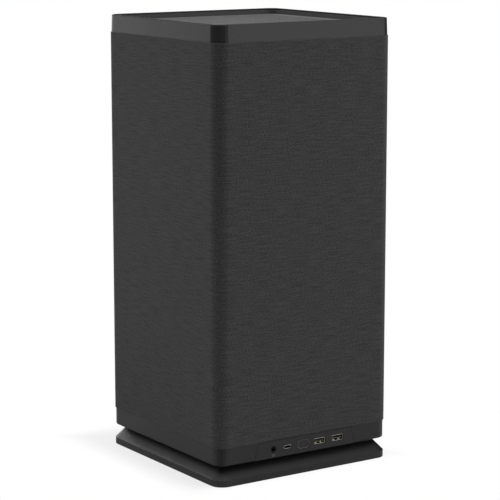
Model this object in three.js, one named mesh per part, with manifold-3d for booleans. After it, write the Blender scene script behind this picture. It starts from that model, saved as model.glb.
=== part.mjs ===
// Desktop computer tower of the chimney kind: a square case wrapped in cloth, on a plinth with an air gap.
// Air comes in through the cloth and the perforated sleeve behind it, and a large fan blows it out
// of the top. Millimetres, +Z up. The origin is on the floor under the middle of the plinth, and the
// front faces -Y.

import * as THREE from "three";
import { mergeVertices } from "three/addons/utils/BufferGeometryUtils.js";
import Module from "manifold-3d";

const wasm = await Module();
wasm.setup();

// Outside, from the floor up
const boardRoom = 18; // from the mainboard's edge to the outside of the cloth
const cornerRadius = 13; // upright corners of the cloth
const footShow = 0.8; // rubber below the plinth
const plinthSide = 6.4; // upright edge of the plinth
const plinthRise = 10.2; // height, and inset, of its 45 degree slope
const plinthInset = 0.2;
const bodyGap = 4; // from the plinth's flat top to the foot of the band
const bandHeight = 17.7;
const bandInset = 0.9;
const bandEdge = 0.8; // rounding of the band's foot
const rimHeight = 17.2;

// Walls and clearances
const clothThickness = 1.1;
const sleeveWall = 1.4;
const slideRoom = 1; // from the sleeve's inside to the chassis
const sheet = 1.5; // folded steel of the chassis
const seam = 0.3; // clearance between pieces that fit into each other
const overrun = 1; // how far a cutter runs past the faces that it cuts

// Band and its ledge, which carries the floor plate
const bandWall = 2.4;
const ledgeWidth = 4.5;
const ledgeThickness = 1.6;
const floorSink = 3.9; // from the top of the band down to the ledge
const outletWidth = 120; // cable outlet at the back

// Feet, pillars and plinth screws
const footRadius = 9;
const footSink = 1.7;
const footInset = 20;
const postRadius = 7;
const postInset = 37;
const screwShank = 1.9;
const screwHead = 4;
const screwHeadHeight = 2.5;
const screwSink = 1;
const screwSpare = 3; // from the screw's tip to the floor plate

// Port insert at the front of the band
const insertTopWidth = 111;
const insertFootWidth = 121;
const insertThickness = 2.1;
const insertGroove = 0.5; // from the insert's top up to the foot of the cloth
const portDrop = 5.2; // from the floor plate down to the middle of the ports
const portShares = { jack: -0.343, usbC: -0.191, button: -0.018, usbALeft: 0.158, usbARight: 0.355 };
const usbA = { width: 13.1, height: 5.7, depth: 14, wall: 0.35, back: 1 };
const usbATongue = { width: 11.1, thickness: 1.8, length: 9.5, lift: 0.9 };
const usbC = { width: 8.94, height: 3.26, depth: 10, wall: 0.3, back: 1, footWidth: 5 };
const usbCTongue = { width: 6.6, thickness: 0.7, length: 6 };
const jack = { bezel: 3.15, bore: 1.8, boreDepth: 12, width: 8, depth: 13, front: 1.2 };
const button = { width: 15.3, height: 9.8, depth: 4, travel: 1, ear: 1.8, earHeight: 5, earThickness: 1.2 };
const plunger = { radius: 1.8, length: 3.9 };
const powerSwitch = { width: 7, height: 5.9, depth: 6, stem: 1.5, stemLength: 1, play: 0.2 };
const portBoard = { depth: 24, thickness: 1.6 };
const shelf = { thickness: 2, boss: 6, gap: 2 }; // the gap is from each boss to the board

// Chassis
const uprightLeg = 16;
const deckRise = 43.3; // cable bay between the floor plate and the port deck
const spineMargin = 1; // from the mainboard's side edge to the spine's
const trayRoom = 37; // from the taller of power supply and graphics card up to the tray
const trayDrop = 32; // from the top of the cloth down to the tray
const cableWindow = { front: 6, backMargin: 13.2, postMargin: 3 };
const floorSlot = { side: 54, height: 8, pitch: 15, frontMargin: 20 };

// Mainboard, upright on the right of the spine, with its ports facing down
const standoff = { radius: 3, length: 6.5, inset: 8 };
const mainboard = { size: 170, thickness: 1.6, lift: 1 };
const shield = { margin: 5.6, height: 44.4, skirt: 3 };
const portRun = { height: 26, lip: 0.5, base: 1.5, drop: 2 };
const socket = { size: 46, height: 5, drop: 78 };
const memorySlot = { inset: 14, width: 6, height: 6, top: 8, pitch: 9.5 };
const memory = { inset: 4.5, thickness: 1.4, height: 31 };
const riserSlot = { length: 90, width: 8, height: 11, inset: 5, rise: 8 };
const powerPlug = { length: 52, width: 10, height: 12, inset: 4, rise: 60 };
const drive = { length: 82, width: 22, height: 8, groove: 1.4, grooveDepth: 4, grooves: 6, drop: 40 };

// Processor cooler: base, pipes, fins, fan
const coolerBase = { size: 40, height: 10 };
const coolerFin = { width: 104, height: 26, thickness: 1, pitch: 8.5, count: 12 };
const coolerPipe = { radius: 3, spacing: 24, reach: 12 };
const coolerFan = { size: 120, depth: 25, wall: 2.5, hub: 19, blades: 7, rotorSteps: 16, bladeSteps: 2 };

// Graphics card, upright on the left of the spine, with its fans facing the cloth
const card = { room: 6.8, depth: 118, length: 270, boardEnd: 8, thickness: 1.6, spineGap: 7 };
const backPlate = { thickness: 1.5, edge: 3 };
const cardSink = { depth: 20, base: 3, fin: 1.2, pitch: 14, edge: 5, pedestal: 9 };
const shroud = { depth: 20, wall: 6 };
const cardFan = { radius: 44, hub: 16, depth: 13, blades: 9, tip: 1.2, rotorSteps: 16, bladeSteps: 2 };
const cardFanInset = 68; // from each end of the card to the middle of its fan
const cardPort = { count: 3, width: 17, height: 6, pitch: 24 };
const riser = { width: 58, thickness: 2.2, loop: 9 };

// Power supply, on the spine above the mainboard
const supply = { height: 63.5, width: 125, length: 100, wall: 1, gap: 8, fanMargin: 4 };
const supplyFan = { depth: 15, wall: 2.5, hub: 15, blades: 7, rotorSteps: 16, bladeSteps: 2 };
const guard = { thickness: 1.2, ring: 2, rings: 3, bar: 2.4 };

// Mains inlet in the port deck, and the lead from it to the power supply
const inlet = { width: 28, depth: 22, height: 24, wall: 2, socket: 17, pin: 1.2 };
const inletFlange = { reach: 3, thickness: 2 };
const inletInset = 47.2; // from the chassis's right face to the middle of the inlet
const inletFanRoom = 7; // from the cooler fan's rear edge to the middle of the inlet
const coolerFanRoom = 10.5; // from the top of the inlet up to the cooler fan
const lead = { radius: 3.5, sides: 8, steps: 40, faceInset: 5, sideInset: 5 };
// Shares of the lead's way sideways, forwards and up. It leaves the inlet straight, goes sideways in
// a long S-bend behind the cooler fan, and forwards in a short one under the power supply.
const leadRouteShares = [
  [0, 0, 0],
  [0, 0, 0.04],
  [0, 0, 0.08],
  [0.02, 0, 0.15],
  [0.08, 0, 0.22],
  [0.18, 0, 0.29],
  [0.32, 0, 0.36],
  [0.5, 0, 0.43],
  [0.68, 0, 0.5],
  [0.82, 0, 0.57],
  [0.92, 0, 0.64],
  [0.98, 0, 0.71],
  [1, 0, 0.76],
  [1, 0.125, 0.815],
  [1, 0.5, 0.87],
  [1, 0.875, 0.925],
  [1, 1, 0.98],
  [1, 1, 1],
];

// Top fan, its tray and the cover
const topFan = { depth: 32, wall: 4, hub: 26, blades: 9, rotorSteps: 24, bladeSteps: 3, sideRoom: 9.2 };
const rimLip = { inset: 1.3, round: 0.7, width: 2.1, drop: 0.3 };
const rimFootInset = 0.7;
const panelSink = 5.8; // from the rim's lip down to the panel
const panelThickness = 2;
const panelLedge = { width: 4, thickness: 1.5 };
const skirt = { drop: 7, thickness: 1.5 };
const panelSlot = { height: 7, pitch: 12, margin: 14, rib: 6 };

// Sleeve windows behind the cloth
const sleeveWindow = { size: 42, columnRib: 14, rowRib: 21, cornerMargin: 3 };

// Counts and turns
const weldDistance = 1e-4;
const quarter = Math.PI / 2;
const cornerSteps = 6;
const roundSteps = 16;

// Half-widths, from the cloth inwards
const bodyWidth = mainboard.size + 2 * boardRoom;
const half = bodyWidth / 2;
const clothInner = half - clothThickness;
const sleeveOuter = clothInner - seam;
const sleeveInner = sleeveOuter - sleeveWall;
const chassisHalf = sleeveInner - slideRoom;
const chassisCorner = cornerRadius - (half - chassisHalf);

// Levels, from the floor up
const plinthBottom = footShow;
const plinthShoulder = plinthBottom + plinthSide;
const plinthTop = plinthShoulder + plinthRise;
const bandBottom = plinthTop + bodyGap;
const bandTop = bandBottom + bandHeight;
const floorBottom = bandTop - floorSink;
const floorTop = floorBottom + sheet;
const deckTop = floorTop + deckRise;
const deckBottom = deckTop - sheet;
const boardFoot = deckTop + mainboard.lift;
const cardFoot = deckTop + mainboard.lift;
const cardTop = cardFoot + card.length;
const inletTop = deckBottom + inlet.height;
const coolerFanFoot = inletTop + coolerFanRoom;
const coolerFanTop = coolerFanFoot + coolerFan.size;
const supplyFoot = Math.max(boardFoot + mainboard.size, coolerFanTop) + supply.gap;
const supplyTop = supplyFoot + supply.length;
const trayBottom = Math.max(supplyTop, cardTop) + trayRoom;
const trayTop = trayBottom + sheet;
const clothTop = trayBottom + trayDrop;
const rimTop = clothTop + rimHeight;

// Places across the tower, from the card's fans on the left to the power supply's on the right
const cardFront = card.room - chassisHalf;
const sinkFace = cardFront + shroud.depth;
const cardFace = sinkFace + cardSink.depth;
const cardBack = cardFace + card.thickness + seam + backPlate.thickness;
const spinePlace = cardBack + card.spineGap;
const spineFace = spinePlace + sheet;
const boardFace = spineFace + standoff.length + mainboard.thickness;
const supplyFace = spineFace + supply.height;

const X = new THREE.Vector3(1, 0, 0);
const Y = new THREE.Vector3(0, 1, 0);
const Z = new THREE.Vector3(0, 0, 1);

// Closed three.js geometry as a solid, turned so that its faces point out.
function toSolid(geometry) {
  const bare = geometry.index ? geometry.toNonIndexed() : geometry.clone();
  bare.deleteAttribute("normal");
  bare.deleteAttribute("uv");
  const merged = mergeVertices(bare, weldDistance);
  const vertProperties = new Float32Array(merged.attributes.position.array);
  const triVerts = new Uint32Array(merged.index.array);
  const made = new wasm.Manifold(new wasm.Mesh({ numProp: 3, vertProperties, triVerts }));
  if (made.volume() > 0) return made;
  const turned = triVerts.map((_, i) => triVerts[i - (i % 3) + 2 - (i % 3)]);
  return new wasm.Manifold(new wasm.Mesh({ numProp: 3, vertProperties, triVerts: turned }));
}

function toGeometry(solid) {
  const mesh = solid.getMesh();
  const indexed = new THREE.BufferGeometry();
  indexed.setAttribute("position", new THREE.BufferAttribute(mesh.vertProperties, 3));
  indexed.setIndex(new THREE.BufferAttribute(mesh.triVerts, 1));
  const flat = indexed.toNonIndexed();
  flat.computeVertexNormals();
  return flat;
}

// All the geometries joined into one.
function join(...parts) {
  return toGeometry(parts.map(toSolid).reduce((sum, part) => sum.add(part)));
}

// The first geometry less all the others.
function cut(from, ...tools) {
  return toGeometry(tools.map(toSolid).reduce((left, tool) => left.subtract(tool), toSolid(from)));
}

// A block between two limits on each axis.
function block([x0, x1], [y0, y1], [z0, z1]) {
  const geometry = new THREE.BoxGeometry(x1 - x0, y1 - y0, z1 - z0);
  return geometry.translate((x0 + x1) / 2, (y0 + y1) / 2, (z0 + z1) / 2);
}

// The two limits of a width about a middle.
function about(middle, width) {
  return [middle - width / 2, middle + width / 2];
}

// A round bar along an axis, from one level to another, centred on a point.
function bar(axis, radius, [from, to], centre, steps = roundSteps) {
  const geometry = new THREE.CylinderGeometry(radius, radius, to - from, steps);
  const turn = new THREE.Quaternion().setFromUnitVectors(Y, axis);
  geometry.applyQuaternion(turn);
  const middle = axis.clone().multiplyScalar((from + to) / 2);
  return geometry.translate(middle.x + centre.x, middle.y + centre.y, middle.z + centre.z);
}

// A profile of [radius, level] turned about the Z axis.
function turned(profile, steps = roundSteps) {
  const points = profile.map(([radius, level]) => new THREE.Vector2(radius, level));
  return new THREE.LatheGeometry(points, steps).rotateX(quarter);
}

// An outline extruded from one level to another along X, Y or Z. Its points are
// [y, z] along X, [x, z] along Y and [x, y] along Z.
function prism(points, axis, [from, to]) {
  const swap = axis === Y;
  const outline = points.map(([a, b]) => (swap ? new THREE.Vector2(b, a) : new THREE.Vector2(a, b)));
  const geometry = new THREE.ExtrudeGeometry(new THREE.Shape(outline), {
    depth: to - from,
    bevelEnabled: false,
  });
  geometry.translate(0, 0, from);
  if (axis === X) geometry.applyMatrix4(new THREE.Matrix4().makeBasis(Y, Z, X));
  if (axis === Y) geometry.applyMatrix4(new THREE.Matrix4().makeBasis(Z, X, Y));
  return geometry;
}

// Points round a square of the given half-width, with each corner an arc.
function squareOutline(halfWidth, radius) {
  const points = [];
  for (let corner = 0; corner < 4; corner += 1) {
    const middle = quarter * (corner + 1 / 2);
    const centreX = Math.sign(Math.cos(middle)) * (halfWidth - radius);
    const centreY = Math.sign(Math.sin(middle)) * (halfWidth - radius);
    for (let step = 0; step <= cornerSteps; step += 1) {
      const turn = quarter * (corner + step / cornerSteps);
      points.push([centreX + radius * Math.cos(turn), centreY + radius * Math.sin(turn)]);
    }
  }
  return points;
}

// Rounded squares at [inset from the cloth, level], skinned in order. A closed one goes round
// to its first ring, and an open one has a flat cap at each end.
function squareSkin(profile, closed) {
  const rings = profile.map(([inset, level]) => {
    const outline = squareOutline(half - inset, cornerRadius - inset);
    return outline.map(([x, y]) => [x, y, level]);
  });
  const count = rings[0].length;
  const index = [];
  const quads = closed ? rings.length : rings.length - 1;
  for (let ring = 0; ring < quads; ring += 1)
    for (let i = 0; i < count; i += 1) {
      const next = (i + 1) % count;
      const here = ring * count;
      const there = ((ring + 1) % rings.length) * count;
      index.push(here + i, here + next, there + next, here + i, there + next, there + i);
    }
  if (!closed)
    for (let i = 1; i < count - 1; i += 1) {
      const last = (rings.length - 1) * count;
      index.push(0, i + 1, i, last, last + i, last + i + 1);
    }
  const geometry = new THREE.BufferGeometry();
  geometry.setAttribute("position", new THREE.Float32BufferAttribute(rings.flat(2), 3));
  geometry.setIndex(index);
  return geometry;
}

// A square with its corners cut off at 45 degrees, set in from the chassis's outer faces.
function chassisOutline(inset) {
  const side = chassisHalf - inset;
  const corner = chassisCorner - inset * (2 - Math.SQRT2);
  const points = [];
  for (const [sx, sy, first] of [[1, 1, true], [-1, 1, false], [-1, -1, true], [1, -1, false]]) {
    const pair = [[sx * side, sy * (side - corner)], [sx * (side - corner), sy * side]];
    points.push(...(first ? pair : pair.reverse()));
  }
  return points;
}

// A stadium outline of the given width and height about a middle.
function stadium(middleX, middleZ, width, height) {
  const radius = height / 2;
  const reach = width / 2 - radius;
  const points = [];
  for (const side of [1, -1])
    for (let step = 0; step <= cornerSteps; step += 1) {
      const turn = side * quarter * (1 - (2 * step) / cornerSteps);
      points.push([middleX + side * (reach + radius * Math.cos(turn)), middleZ + radius * Math.sin(turn)]);
    }
  return points;
}

const finishes = {
  satinBlack: { color: 0x1d1d1f, roughness: 0.42, metalness: 0 },
  mattBlack: { color: 0x222224, roughness: 0.7, metalness: 0 },
  panelGrey: { color: 0x3a3b3d, roughness: 0.55, metalness: 0.4 },
  cloth: { color: 0x2b2b2d, roughness: 0.95, metalness: 0 },
  rubber: { color: 0x151515, roughness: 0.9, metalness: 0 },
  steel: { color: 0x2a2b2d, roughness: 0.5, metalness: 0.6 },
  bareSteel: { color: 0xa9abad, roughness: 0.35, metalness: 1 },
  aluminium: { color: 0xb4b6b8, roughness: 0.4, metalness: 1 },
  board: { color: 0x14181c, roughness: 0.55, metalness: 0.1 },
  plastic: { color: 0x19191b, roughness: 0.6, metalness: 0 },
};

function piece(name, geometry, finish) {
  const mesh = new THREE.Mesh(join(geometry), new THREE.MeshStandardMaterial(finishes[finish]));
  mesh.name = name;
  return mesh;
}

const signs = { front_left: [-1, -1], front_right: [1, -1], rear_left: [-1, 1], rear_right: [1, 1] };

// Plinth: a solid plate with a sloped top and four pillars that carry the body. It has pockets
// for the feet and stepped holes for the screws.
const screwSeat = plinthBottom + screwSink + screwHeadHeight;

function basePlinth() {
  const slope = plinthInset + plinthRise;
  const profile = [[plinthInset, plinthBottom], [plinthInset, plinthShoulder], [slope, plinthTop]];
  const plate = squareSkin(profile, false);
  const holes = Object.values(signs).flatMap(([sx, sy]) => {
    const foot = new THREE.Vector3(sx * (half - footInset), sy * (half - footInset), 0);
    const post = new THREE.Vector3(sx * (half - postInset), sy * (half - postInset), 0);
    return [
      bar(Z, footRadius + seam, [plinthBottom - overrun, plinthBottom + footSink], foot),
      bar(Z, screwHead + seam, [plinthBottom - overrun, screwSeat], post),
      bar(Z, screwShank + seam, [plinthBottom, floorBottom + overrun], post),
    ];
  });
  const pillars = Object.values(signs).map(([sx, sy]) => {
    const post = new THREE.Vector3(sx * (half - postInset), sy * (half - postInset), 0);
    return bar(Z, postRadius, [plinthShoulder, floorBottom], post);
  });
  return piece("base_plinth", cut(join(plate, ...pillars), ...holes), "satinBlack");
}

function plinthSet() {
  const set = new THREE.Group();
  const footTop = plinthBottom + footSink;
  for (const [corner, [sx, sy]] of Object.entries(signs)) {
    const foot = turned([[0, 0], [footRadius, 0], [footRadius, footTop], [0, footTop]]);
    foot.translate(sx * (half - footInset), sy * (half - footInset), 0);
    set.add(piece("foot_" + corner, foot, "rubber"));
    const screw = turned([
      [0, screwSeat - screwHeadHeight],
      [screwHead, screwSeat - screwHeadHeight],
      [screwHead, screwSeat],
      [screwShank, screwSeat],
      [screwShank, floorBottom - screwSpare],
      [0, floorBottom - screwSpare],
    ]);
    screw.translate(sx * (half - postInset), sy * (half - postInset), 0);
    set.add(piece("plinth_screw_" + corner, screw, "bareSteel"));
  }
  return set;
}

// Half-width of the port insert at a level, which narrows upwards.
function insertHalf(level) {
  const share = (level - bandBottom) / bandHeight;
  return (insertFootWidth + (insertTopWidth - insertFootWidth) * share) / 2;
}

// The insert's outline between two levels, grown by a clearance.
function insertOutline(low, high, clearance) {
  const foot = insertHalf(low) + clearance;
  const top = insertHalf(high) + clearance;
  return [[-foot, low], [foot, low], [top, high], [-top, high]];
}

function bottomBand() {
  const wallIn = bandInset + bandWall;
  const ledgeIn = wallIn + ledgeWidth;
  const ring = squareSkin(
    [
      [bandInset, bandTop],
      [bandInset, bandBottom + bandEdge],
      [bandInset + bandEdge, bandBottom],
      [wallIn, bandBottom],
      [wallIn, floorBottom - ledgeThickness],
      [ledgeIn, floorBottom - ledgeThickness],
      [ledgeIn, floorBottom],
      [wallIn, floorBottom],
      [wallIn, bandTop],
    ],
    true,
  );
  const notch = prism(insertOutline(bandBottom - overrun, bandTop + overrun, seam), Y, [
    -half - overrun,
    ledgeIn + overrun - half,
  ]);
  const outlet = block(about(0, outletWidth), [half - ledgeIn - overrun, half + overrun], [
    bandBottom - overrun,
    floorBottom - ledgeThickness,
  ]);
  return piece("bottom_band", cut(ring, notch, outlet), "satinBlack");
}

// Places that the port pieces share
const portFront = bandInset - half;
const insertBack = portFront + insertThickness;
const portLevel = floorBottom - portDrop;
const portPlace = (name) => portShares[name] * insertTopWidth;
const buttonPlace = portPlace("button");
const jackPlace = portPlace("jack");
const usbCPlace = portPlace("usbC");
const usbAPlaces = { usb_a_left: portPlace("usbALeft"), usb_a_right: portPlace("usbARight") };
const shelfHalf = insertTopWidth / 2;
const portBoardHalf = shelfHalf - shelf.boss - shelf.gap;
const boardTop = portLevel - Math.max(usbA.height / 2, jack.bezel);
const boardBottom = boardTop - portBoard.thickness;

// Room behind the insert for the power button's travel, cut in the shelf, the board and the floor plate.
function buttonRoom() {
  const deep = portFront + button.depth + button.travel + seam;
  const width = button.width + 2 * (button.ear + seam);
  const levels = [boardBottom - shelf.thickness - overrun, floorTop + overrun];
  return block(about(buttonPlace, width), [portFront, deep], levels);
}

function portInsert() {
  const front = [portFront, insertBack];
  const through = [portFront - overrun, insertBack + overrun];
  const shelfDepth = [insertBack - seam, insertBack + portBoard.depth];
  const plate = prism(insertOutline(bandBottom, bandTop - insertGroove, 0), Y, front);
  const shelfBottom = boardBottom - shelf.thickness;
  const tray = block(about(0, 2 * shelfHalf), shelfDepth, [shelfBottom, boardBottom]);
  const bosses = [-1, 1].map((side) => {
    const middle = side * (shelfHalf - shelf.boss / 2);
    return block(about(middle, shelf.boss), shelfDepth, [shelfBottom, floorBottom]);
  });
  const usbAHoles = Object.values(usbAPlaces).map((place) => {
    const height = about(portLevel, usbA.height + 2 * seam);
    return block(about(place, usbA.width + 2 * seam), through, height);
  });
  const usbCHole = prism(
    stadium(usbCPlace, portLevel, usbC.width + 2 * seam, usbC.height + 2 * seam),
    Y,
    through,
  );
  const buttonHole = prism(
    stadium(buttonPlace, portLevel, button.width + 2 * seam, button.height + 2 * seam),
    Y,
    through,
  );
  const jackHole = bar(Y, jack.bezel + seam, through, new THREE.Vector3(jackPlace, 0, portLevel));
  const drilled = cut(plate, ...usbAHoles, usbCHole, buttonHole, jackHole);
  return piece("port_insert", join(drilled, cut(tray, buttonRoom()), ...bosses), "satinBlack");
}

// A socket: a shell that is open at the front, with a tongue on its back wall.
function usbASocket(place) {
  const back = portFront + usbA.depth;
  const wallFace = back - usbA.back;
  const outer = block(about(place, usbA.width), [portFront, back], about(portLevel, usbA.height));
  const room = block(
    about(place, usbA.width - 2 * usbA.wall),
    [portFront - overrun, wallFace],
    about(portLevel, usbA.height - 2 * usbA.wall),
  );
  const tongue = block(
    about(place, usbATongue.width),
    [wallFace - usbATongue.length, wallFace + seam],
    about(portLevel + usbATongue.lift, usbATongue.thickness),
  );
  return join(cut(outer, room), tongue);
}

function usbCSocket() {
  const back = portFront + usbC.depth;
  const wallFace = back - usbC.back;
  const outer = prism(stadium(usbCPlace, portLevel, usbC.width, usbC.height), Y, [portFront, back]);
  const footLevels = [boardTop, portLevel - usbC.wall];
  const foot = block(about(usbCPlace, usbC.footWidth), [insertBack + seam, back], footLevels);
  const room = prism(
    stadium(usbCPlace, portLevel, usbC.width - 2 * usbC.wall, usbC.height - 2 * usbC.wall),
    Y,
    [portFront - overrun, wallFace],
  );
  const tongue = block(
    about(usbCPlace, usbCTongue.width),
    [wallFace - usbCTongue.length, wallFace + seam],
    about(portLevel, usbCTongue.thickness),
  );
  return join(cut(join(outer, foot), room), tongue);
}

function usbPorts() {
  const set = new THREE.Group();
  for (const [name, place] of Object.entries(usbAPlaces))
    set.add(piece(name + "_socket", usbASocket(place), "bareSteel"));
  set.add(piece("usb_c_socket", usbCSocket(), "bareSteel"));
  return set;
}

function headsetJack() {
  const centre = new THREE.Vector3(jackPlace, 0, portLevel);
  const bodyFront = insertBack + jack.front;
  const barrel = bar(Y, jack.bezel, [portFront, bodyFront + seam], centre);
  const body = block(about(jackPlace, jack.width), [bodyFront, bodyFront + jack.depth], [
    boardTop,
    portLevel + jack.bezel,
  ]);
  const bore = bar(Y, jack.bore, [portFront - overrun, portFront + jack.boreDepth], centre);
  return piece("headset_jack", cut(join(barrel, body), bore), "plastic");
}

// The button slides inwards in the insert, held by its ears, and its plunger works the switch.
function powerButton() {
  const capBack = portFront + button.depth;
  const cap = prism(stadium(buttonPlace, portLevel, button.width, button.height), Y, [portFront, capBack]);
  const ears = block(
    about(buttonPlace, button.width + 2 * button.ear),
    [insertBack + seam, insertBack + seam + button.earThickness],
    about(portLevel, button.earHeight),
  );
  const centre = new THREE.Vector3(buttonPlace, 0, portLevel);
  const stem = bar(Y, plunger.radius, [capBack - seam, capBack + plunger.length], centre);
  return piece("power_button", join(cap, ears, stem), "satinBlack");
}

function buttonSwitch() {
  const stemFront = portFront + button.depth + plunger.length + button.travel + powerSwitch.play;
  const bodyFront = stemFront + powerSwitch.stemLength;
  const centre = new THREE.Vector3(buttonPlace, 0, portLevel);
  const stem = bar(Y, powerSwitch.stem, [stemFront, bodyFront + seam], centre);
  const body = block(about(buttonPlace, powerSwitch.width), [bodyFront, bodyFront + powerSwitch.depth], [
    boardTop,
    boardTop + powerSwitch.height,
  ]);
  return piece("power_switch", join(stem, body), "plastic");
}

function portCircuit() {
  const depth = [insertBack + seam, insertBack + portBoard.depth];
  const board = block(about(0, 2 * portBoardHalf), depth, [boardBottom, boardTop]);
  return piece("port_board", cut(board, buttonRoom()), "board");
}

// The floor plate has a window for cables between the rear pillars and air slots in front of it.
function chassisFloor() {
  const plate = prism(chassisOutline(0), Z, [floorBottom, floorTop]);
  const through = [floorBottom - overrun, floorTop + overrun];
  const windowHalf = half - postInset - postRadius - cableWindow.postMargin;
  const windowDepth = [cableWindow.front, chassisHalf - cableWindow.backMargin];
  const window = block([-windowHalf, windowHalf], windowDepth, through);
  const first = floorSlot.frontMargin + floorSlot.height / 2 - chassisHalf;
  const slotHalf = half - floorSlot.side;
  const slots = [];
  for (let y = first; y + floorSlot.pitch < cableWindow.front; y += floorSlot.pitch)
    slots.push(block([-slotHalf, slotHalf], about(y, floorSlot.height), through));
  return piece("floor_plate", cut(plate, window, ...slots, buttonRoom()), "steel");
}

// Corner uprights: angles whose outer corner is cut off to clear the sleeve's round one.
function uprights() {
  const set = new THREE.Group();
  const inner = chassisHalf - sheet;
  const innerCorner = chassisCorner - sheet * (2 - Math.SQRT2);
  const leg = chassisHalf - uprightLeg;
  for (const [corner, [sx, sy]] of Object.entries(signs)) {
    const outline = [
      [chassisHalf, leg],
      [chassisHalf, chassisHalf - chassisCorner],
      [chassisHalf - chassisCorner, chassisHalf],
      [leg, chassisHalf],
      [leg, inner],
      [inner - innerCorner, inner],
      [inner, inner - innerCorner],
      [inner, leg],
    ].map(([x, y]) => [sx * x, sy * y]);
    set.add(piece("upright_" + corner, prism(outline, Z, [floorTop, trayBottom]), "steel"));
  }
  return set;
}

// Places that the deck shares with what hangs in it
const shieldWidth = mainboard.size - 2 * shield.margin;
const shieldX = [boardFace - shield.skirt, boardFace - shield.skirt + shield.height];
const inletPlace = {
  x: chassisHalf - inletInset,
  y: coolerFan.size / 2 + inletFanRoom,
};

function portDeck() {
  const through = [deckBottom - overrun, deckTop + overrun];
  const plate = prism(chassisOutline(sheet + seam), Z, [deckBottom, deckTop]);
  const shieldSpan = [shieldX[0] - seam, shieldX[1] + seam];
  const shieldWindow = block(shieldSpan, about(0, shieldWidth + 2 * seam), through);
  const cardWindow = block([cardFront - seam, cardBack + seam], about(0, card.depth + 2 * seam), through);
  const inletHole = block(
    about(inletPlace.x, inlet.width + 2 * seam),
    about(inletPlace.y, inlet.depth + 2 * seam),
    through,
  );
  return piece("port_deck", cut(plate, shieldWindow, cardWindow, inletHole), "steel");
}

function spinePlate() {
  const width = mainboard.size - 2 * spineMargin;
  const plate = block([spinePlace, spineFace], about(0, width), [deckTop, trayBottom]);
  const corners = [
    [-1, boardFoot + standoff.inset],
    [1, boardFoot + standoff.inset],
    [-1, boardFoot + mainboard.size - standoff.inset],
    [1, boardFoot + mainboard.size - standoff.inset],
  ];
  const bosses = corners.map(([side, level]) => {
    const centre = new THREE.Vector3(0, side * (mainboard.size / 2 - standoff.inset), level);
    return bar(X, standoff.radius, [spineFace - seam, spineFace + standoff.length], centre, roundSteps / 2);
  });
  return piece("spine_plate", join(plate, ...bosses), "steel");
}

const memorySlotLength = mainboard.size - 2 * memorySlot.inset;

// Mainboard: the board with the housings that are soldered to its face.
function mainboardSet() {
  const set = new THREE.Group();
  const top = boardFoot + mainboard.size;
  const sideEdge = mainboard.size / 2;
  const onBoard = (height) => [boardFace - seam, boardFace + height];
  const boardX = [boardFace - mainboard.thickness, boardFace];
  const board = block(boardX, about(0, mainboard.size), [boardFoot, top]);
  const riserY = [sideEdge - riserSlot.inset - riserSlot.width, sideEdge - riserSlot.inset];
  const riserFoot = boardFoot + riserSlot.rise + portRun.height;
  const plugY = [powerPlug.inset - sideEdge, powerPlug.inset + powerPlug.width - sideEdge];
  const plugFoot = boardFoot + powerPlug.rise;
  const socketLevel = top - socket.drop;
  const housings = [
    block(onBoard(socket.height), about(0, socket.size), about(socketLevel, socket.size)),
    ...[0, 1].map((i) => {
      const level = top - memorySlot.top - i * memorySlot.pitch;
      return block(onBoard(memorySlot.height), about(0, memorySlotLength), about(level, memorySlot.width));
    }),
    block(onBoard(riserSlot.height), riserY, [riserFoot, riserFoot + riserSlot.length]),
    block(onBoard(powerPlug.height), plugY, [plugFoot, plugFoot + powerPlug.length]),
  ];
  set.add(piece("mainboard", join(board, ...housings), "board"));
  for (const i of [0, 1]) {
    const level = top - memorySlot.top - i * memorySlot.pitch;
    const foot = boardFace + memorySlot.height + seam;
    const length = memorySlotLength - 2 * memory.inset;
    const module = block([foot, foot + memory.height], about(0, length), about(level, memory.thickness));
    set.add(piece("memory_module_" + (i + 1), module, "board"));
  }
  return set;
}

// Downward ports along the mainboard's foot: [middle, width, height off the board], as shares of
// the shield's width and height.
const rearPortShares = [
  [-0.4, 0.1, 0.5],
  [-0.27, 0.1, 0.36],
  [-0.12, 0.12, 0.58],
  [0.04, 0.1, 0.36],
  [0.2, 0.11, 0.58],
  [0.37, 0.15, 0.5],
];
const rearPorts = rearPortShares.map(([middle, width, height]) => ({
  middle: middle * shieldWidth,
  width: width * shieldWidth,
  height: height * shield.height,
}));

function downwardPorts() {
  const low = deckBottom - portRun.lip;
  const high = boardFoot + portRun.height;
  const foot = boardFace + seam;
  const boxes = rearPorts.map(({ middle, width, height }) =>
    block([foot, foot + height], about(middle, width), [low, high]),
  );
  const base = block([foot, foot + portRun.base], about(0, shieldWidth - 2 * portRun.drop), [
    boardFoot + portRun.drop,
    high,
  ]);
  const holes = rearPorts.map(({ middle, width, height }) =>
    block([foot - seam, foot + height + seam], about(middle, width + 2 * seam), [
      deckBottom - overrun,
      deckTop + overrun,
    ]),
  );
  const plate = block(shieldX, about(0, shieldWidth), [deckBottom, deckTop]);
  const set = new THREE.Group();
  set.add(piece("mainboard_ports", join(base, ...boxes), "bareSteel"));
  set.add(piece("port_shield", cut(plate, ...holes), "bareSteel"));
  return set;
}

function driveSpreader() {
  const foot = boardFace + seam;
  const level = boardFoot + mainboard.size - drive.drop;
  const body = block([foot, foot + drive.height], about(0, drive.length), about(level, drive.width));
  const pitch = drive.width / (drive.grooves + 1);
  const grooves = Array.from({ length: drive.grooves }, (_, i) => {
    const middle = level - drive.width / 2 + pitch * (i + 1);
    return block(
      [foot + drive.height - drive.grooveDepth, foot + drive.height + overrun],
      about(0, drive.length + 2 * overrun),
      about(middle, drive.groove),
    );
  });
  return piece("drive_spreader", cut(body, ...grooves), "aluminium");
}

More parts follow.
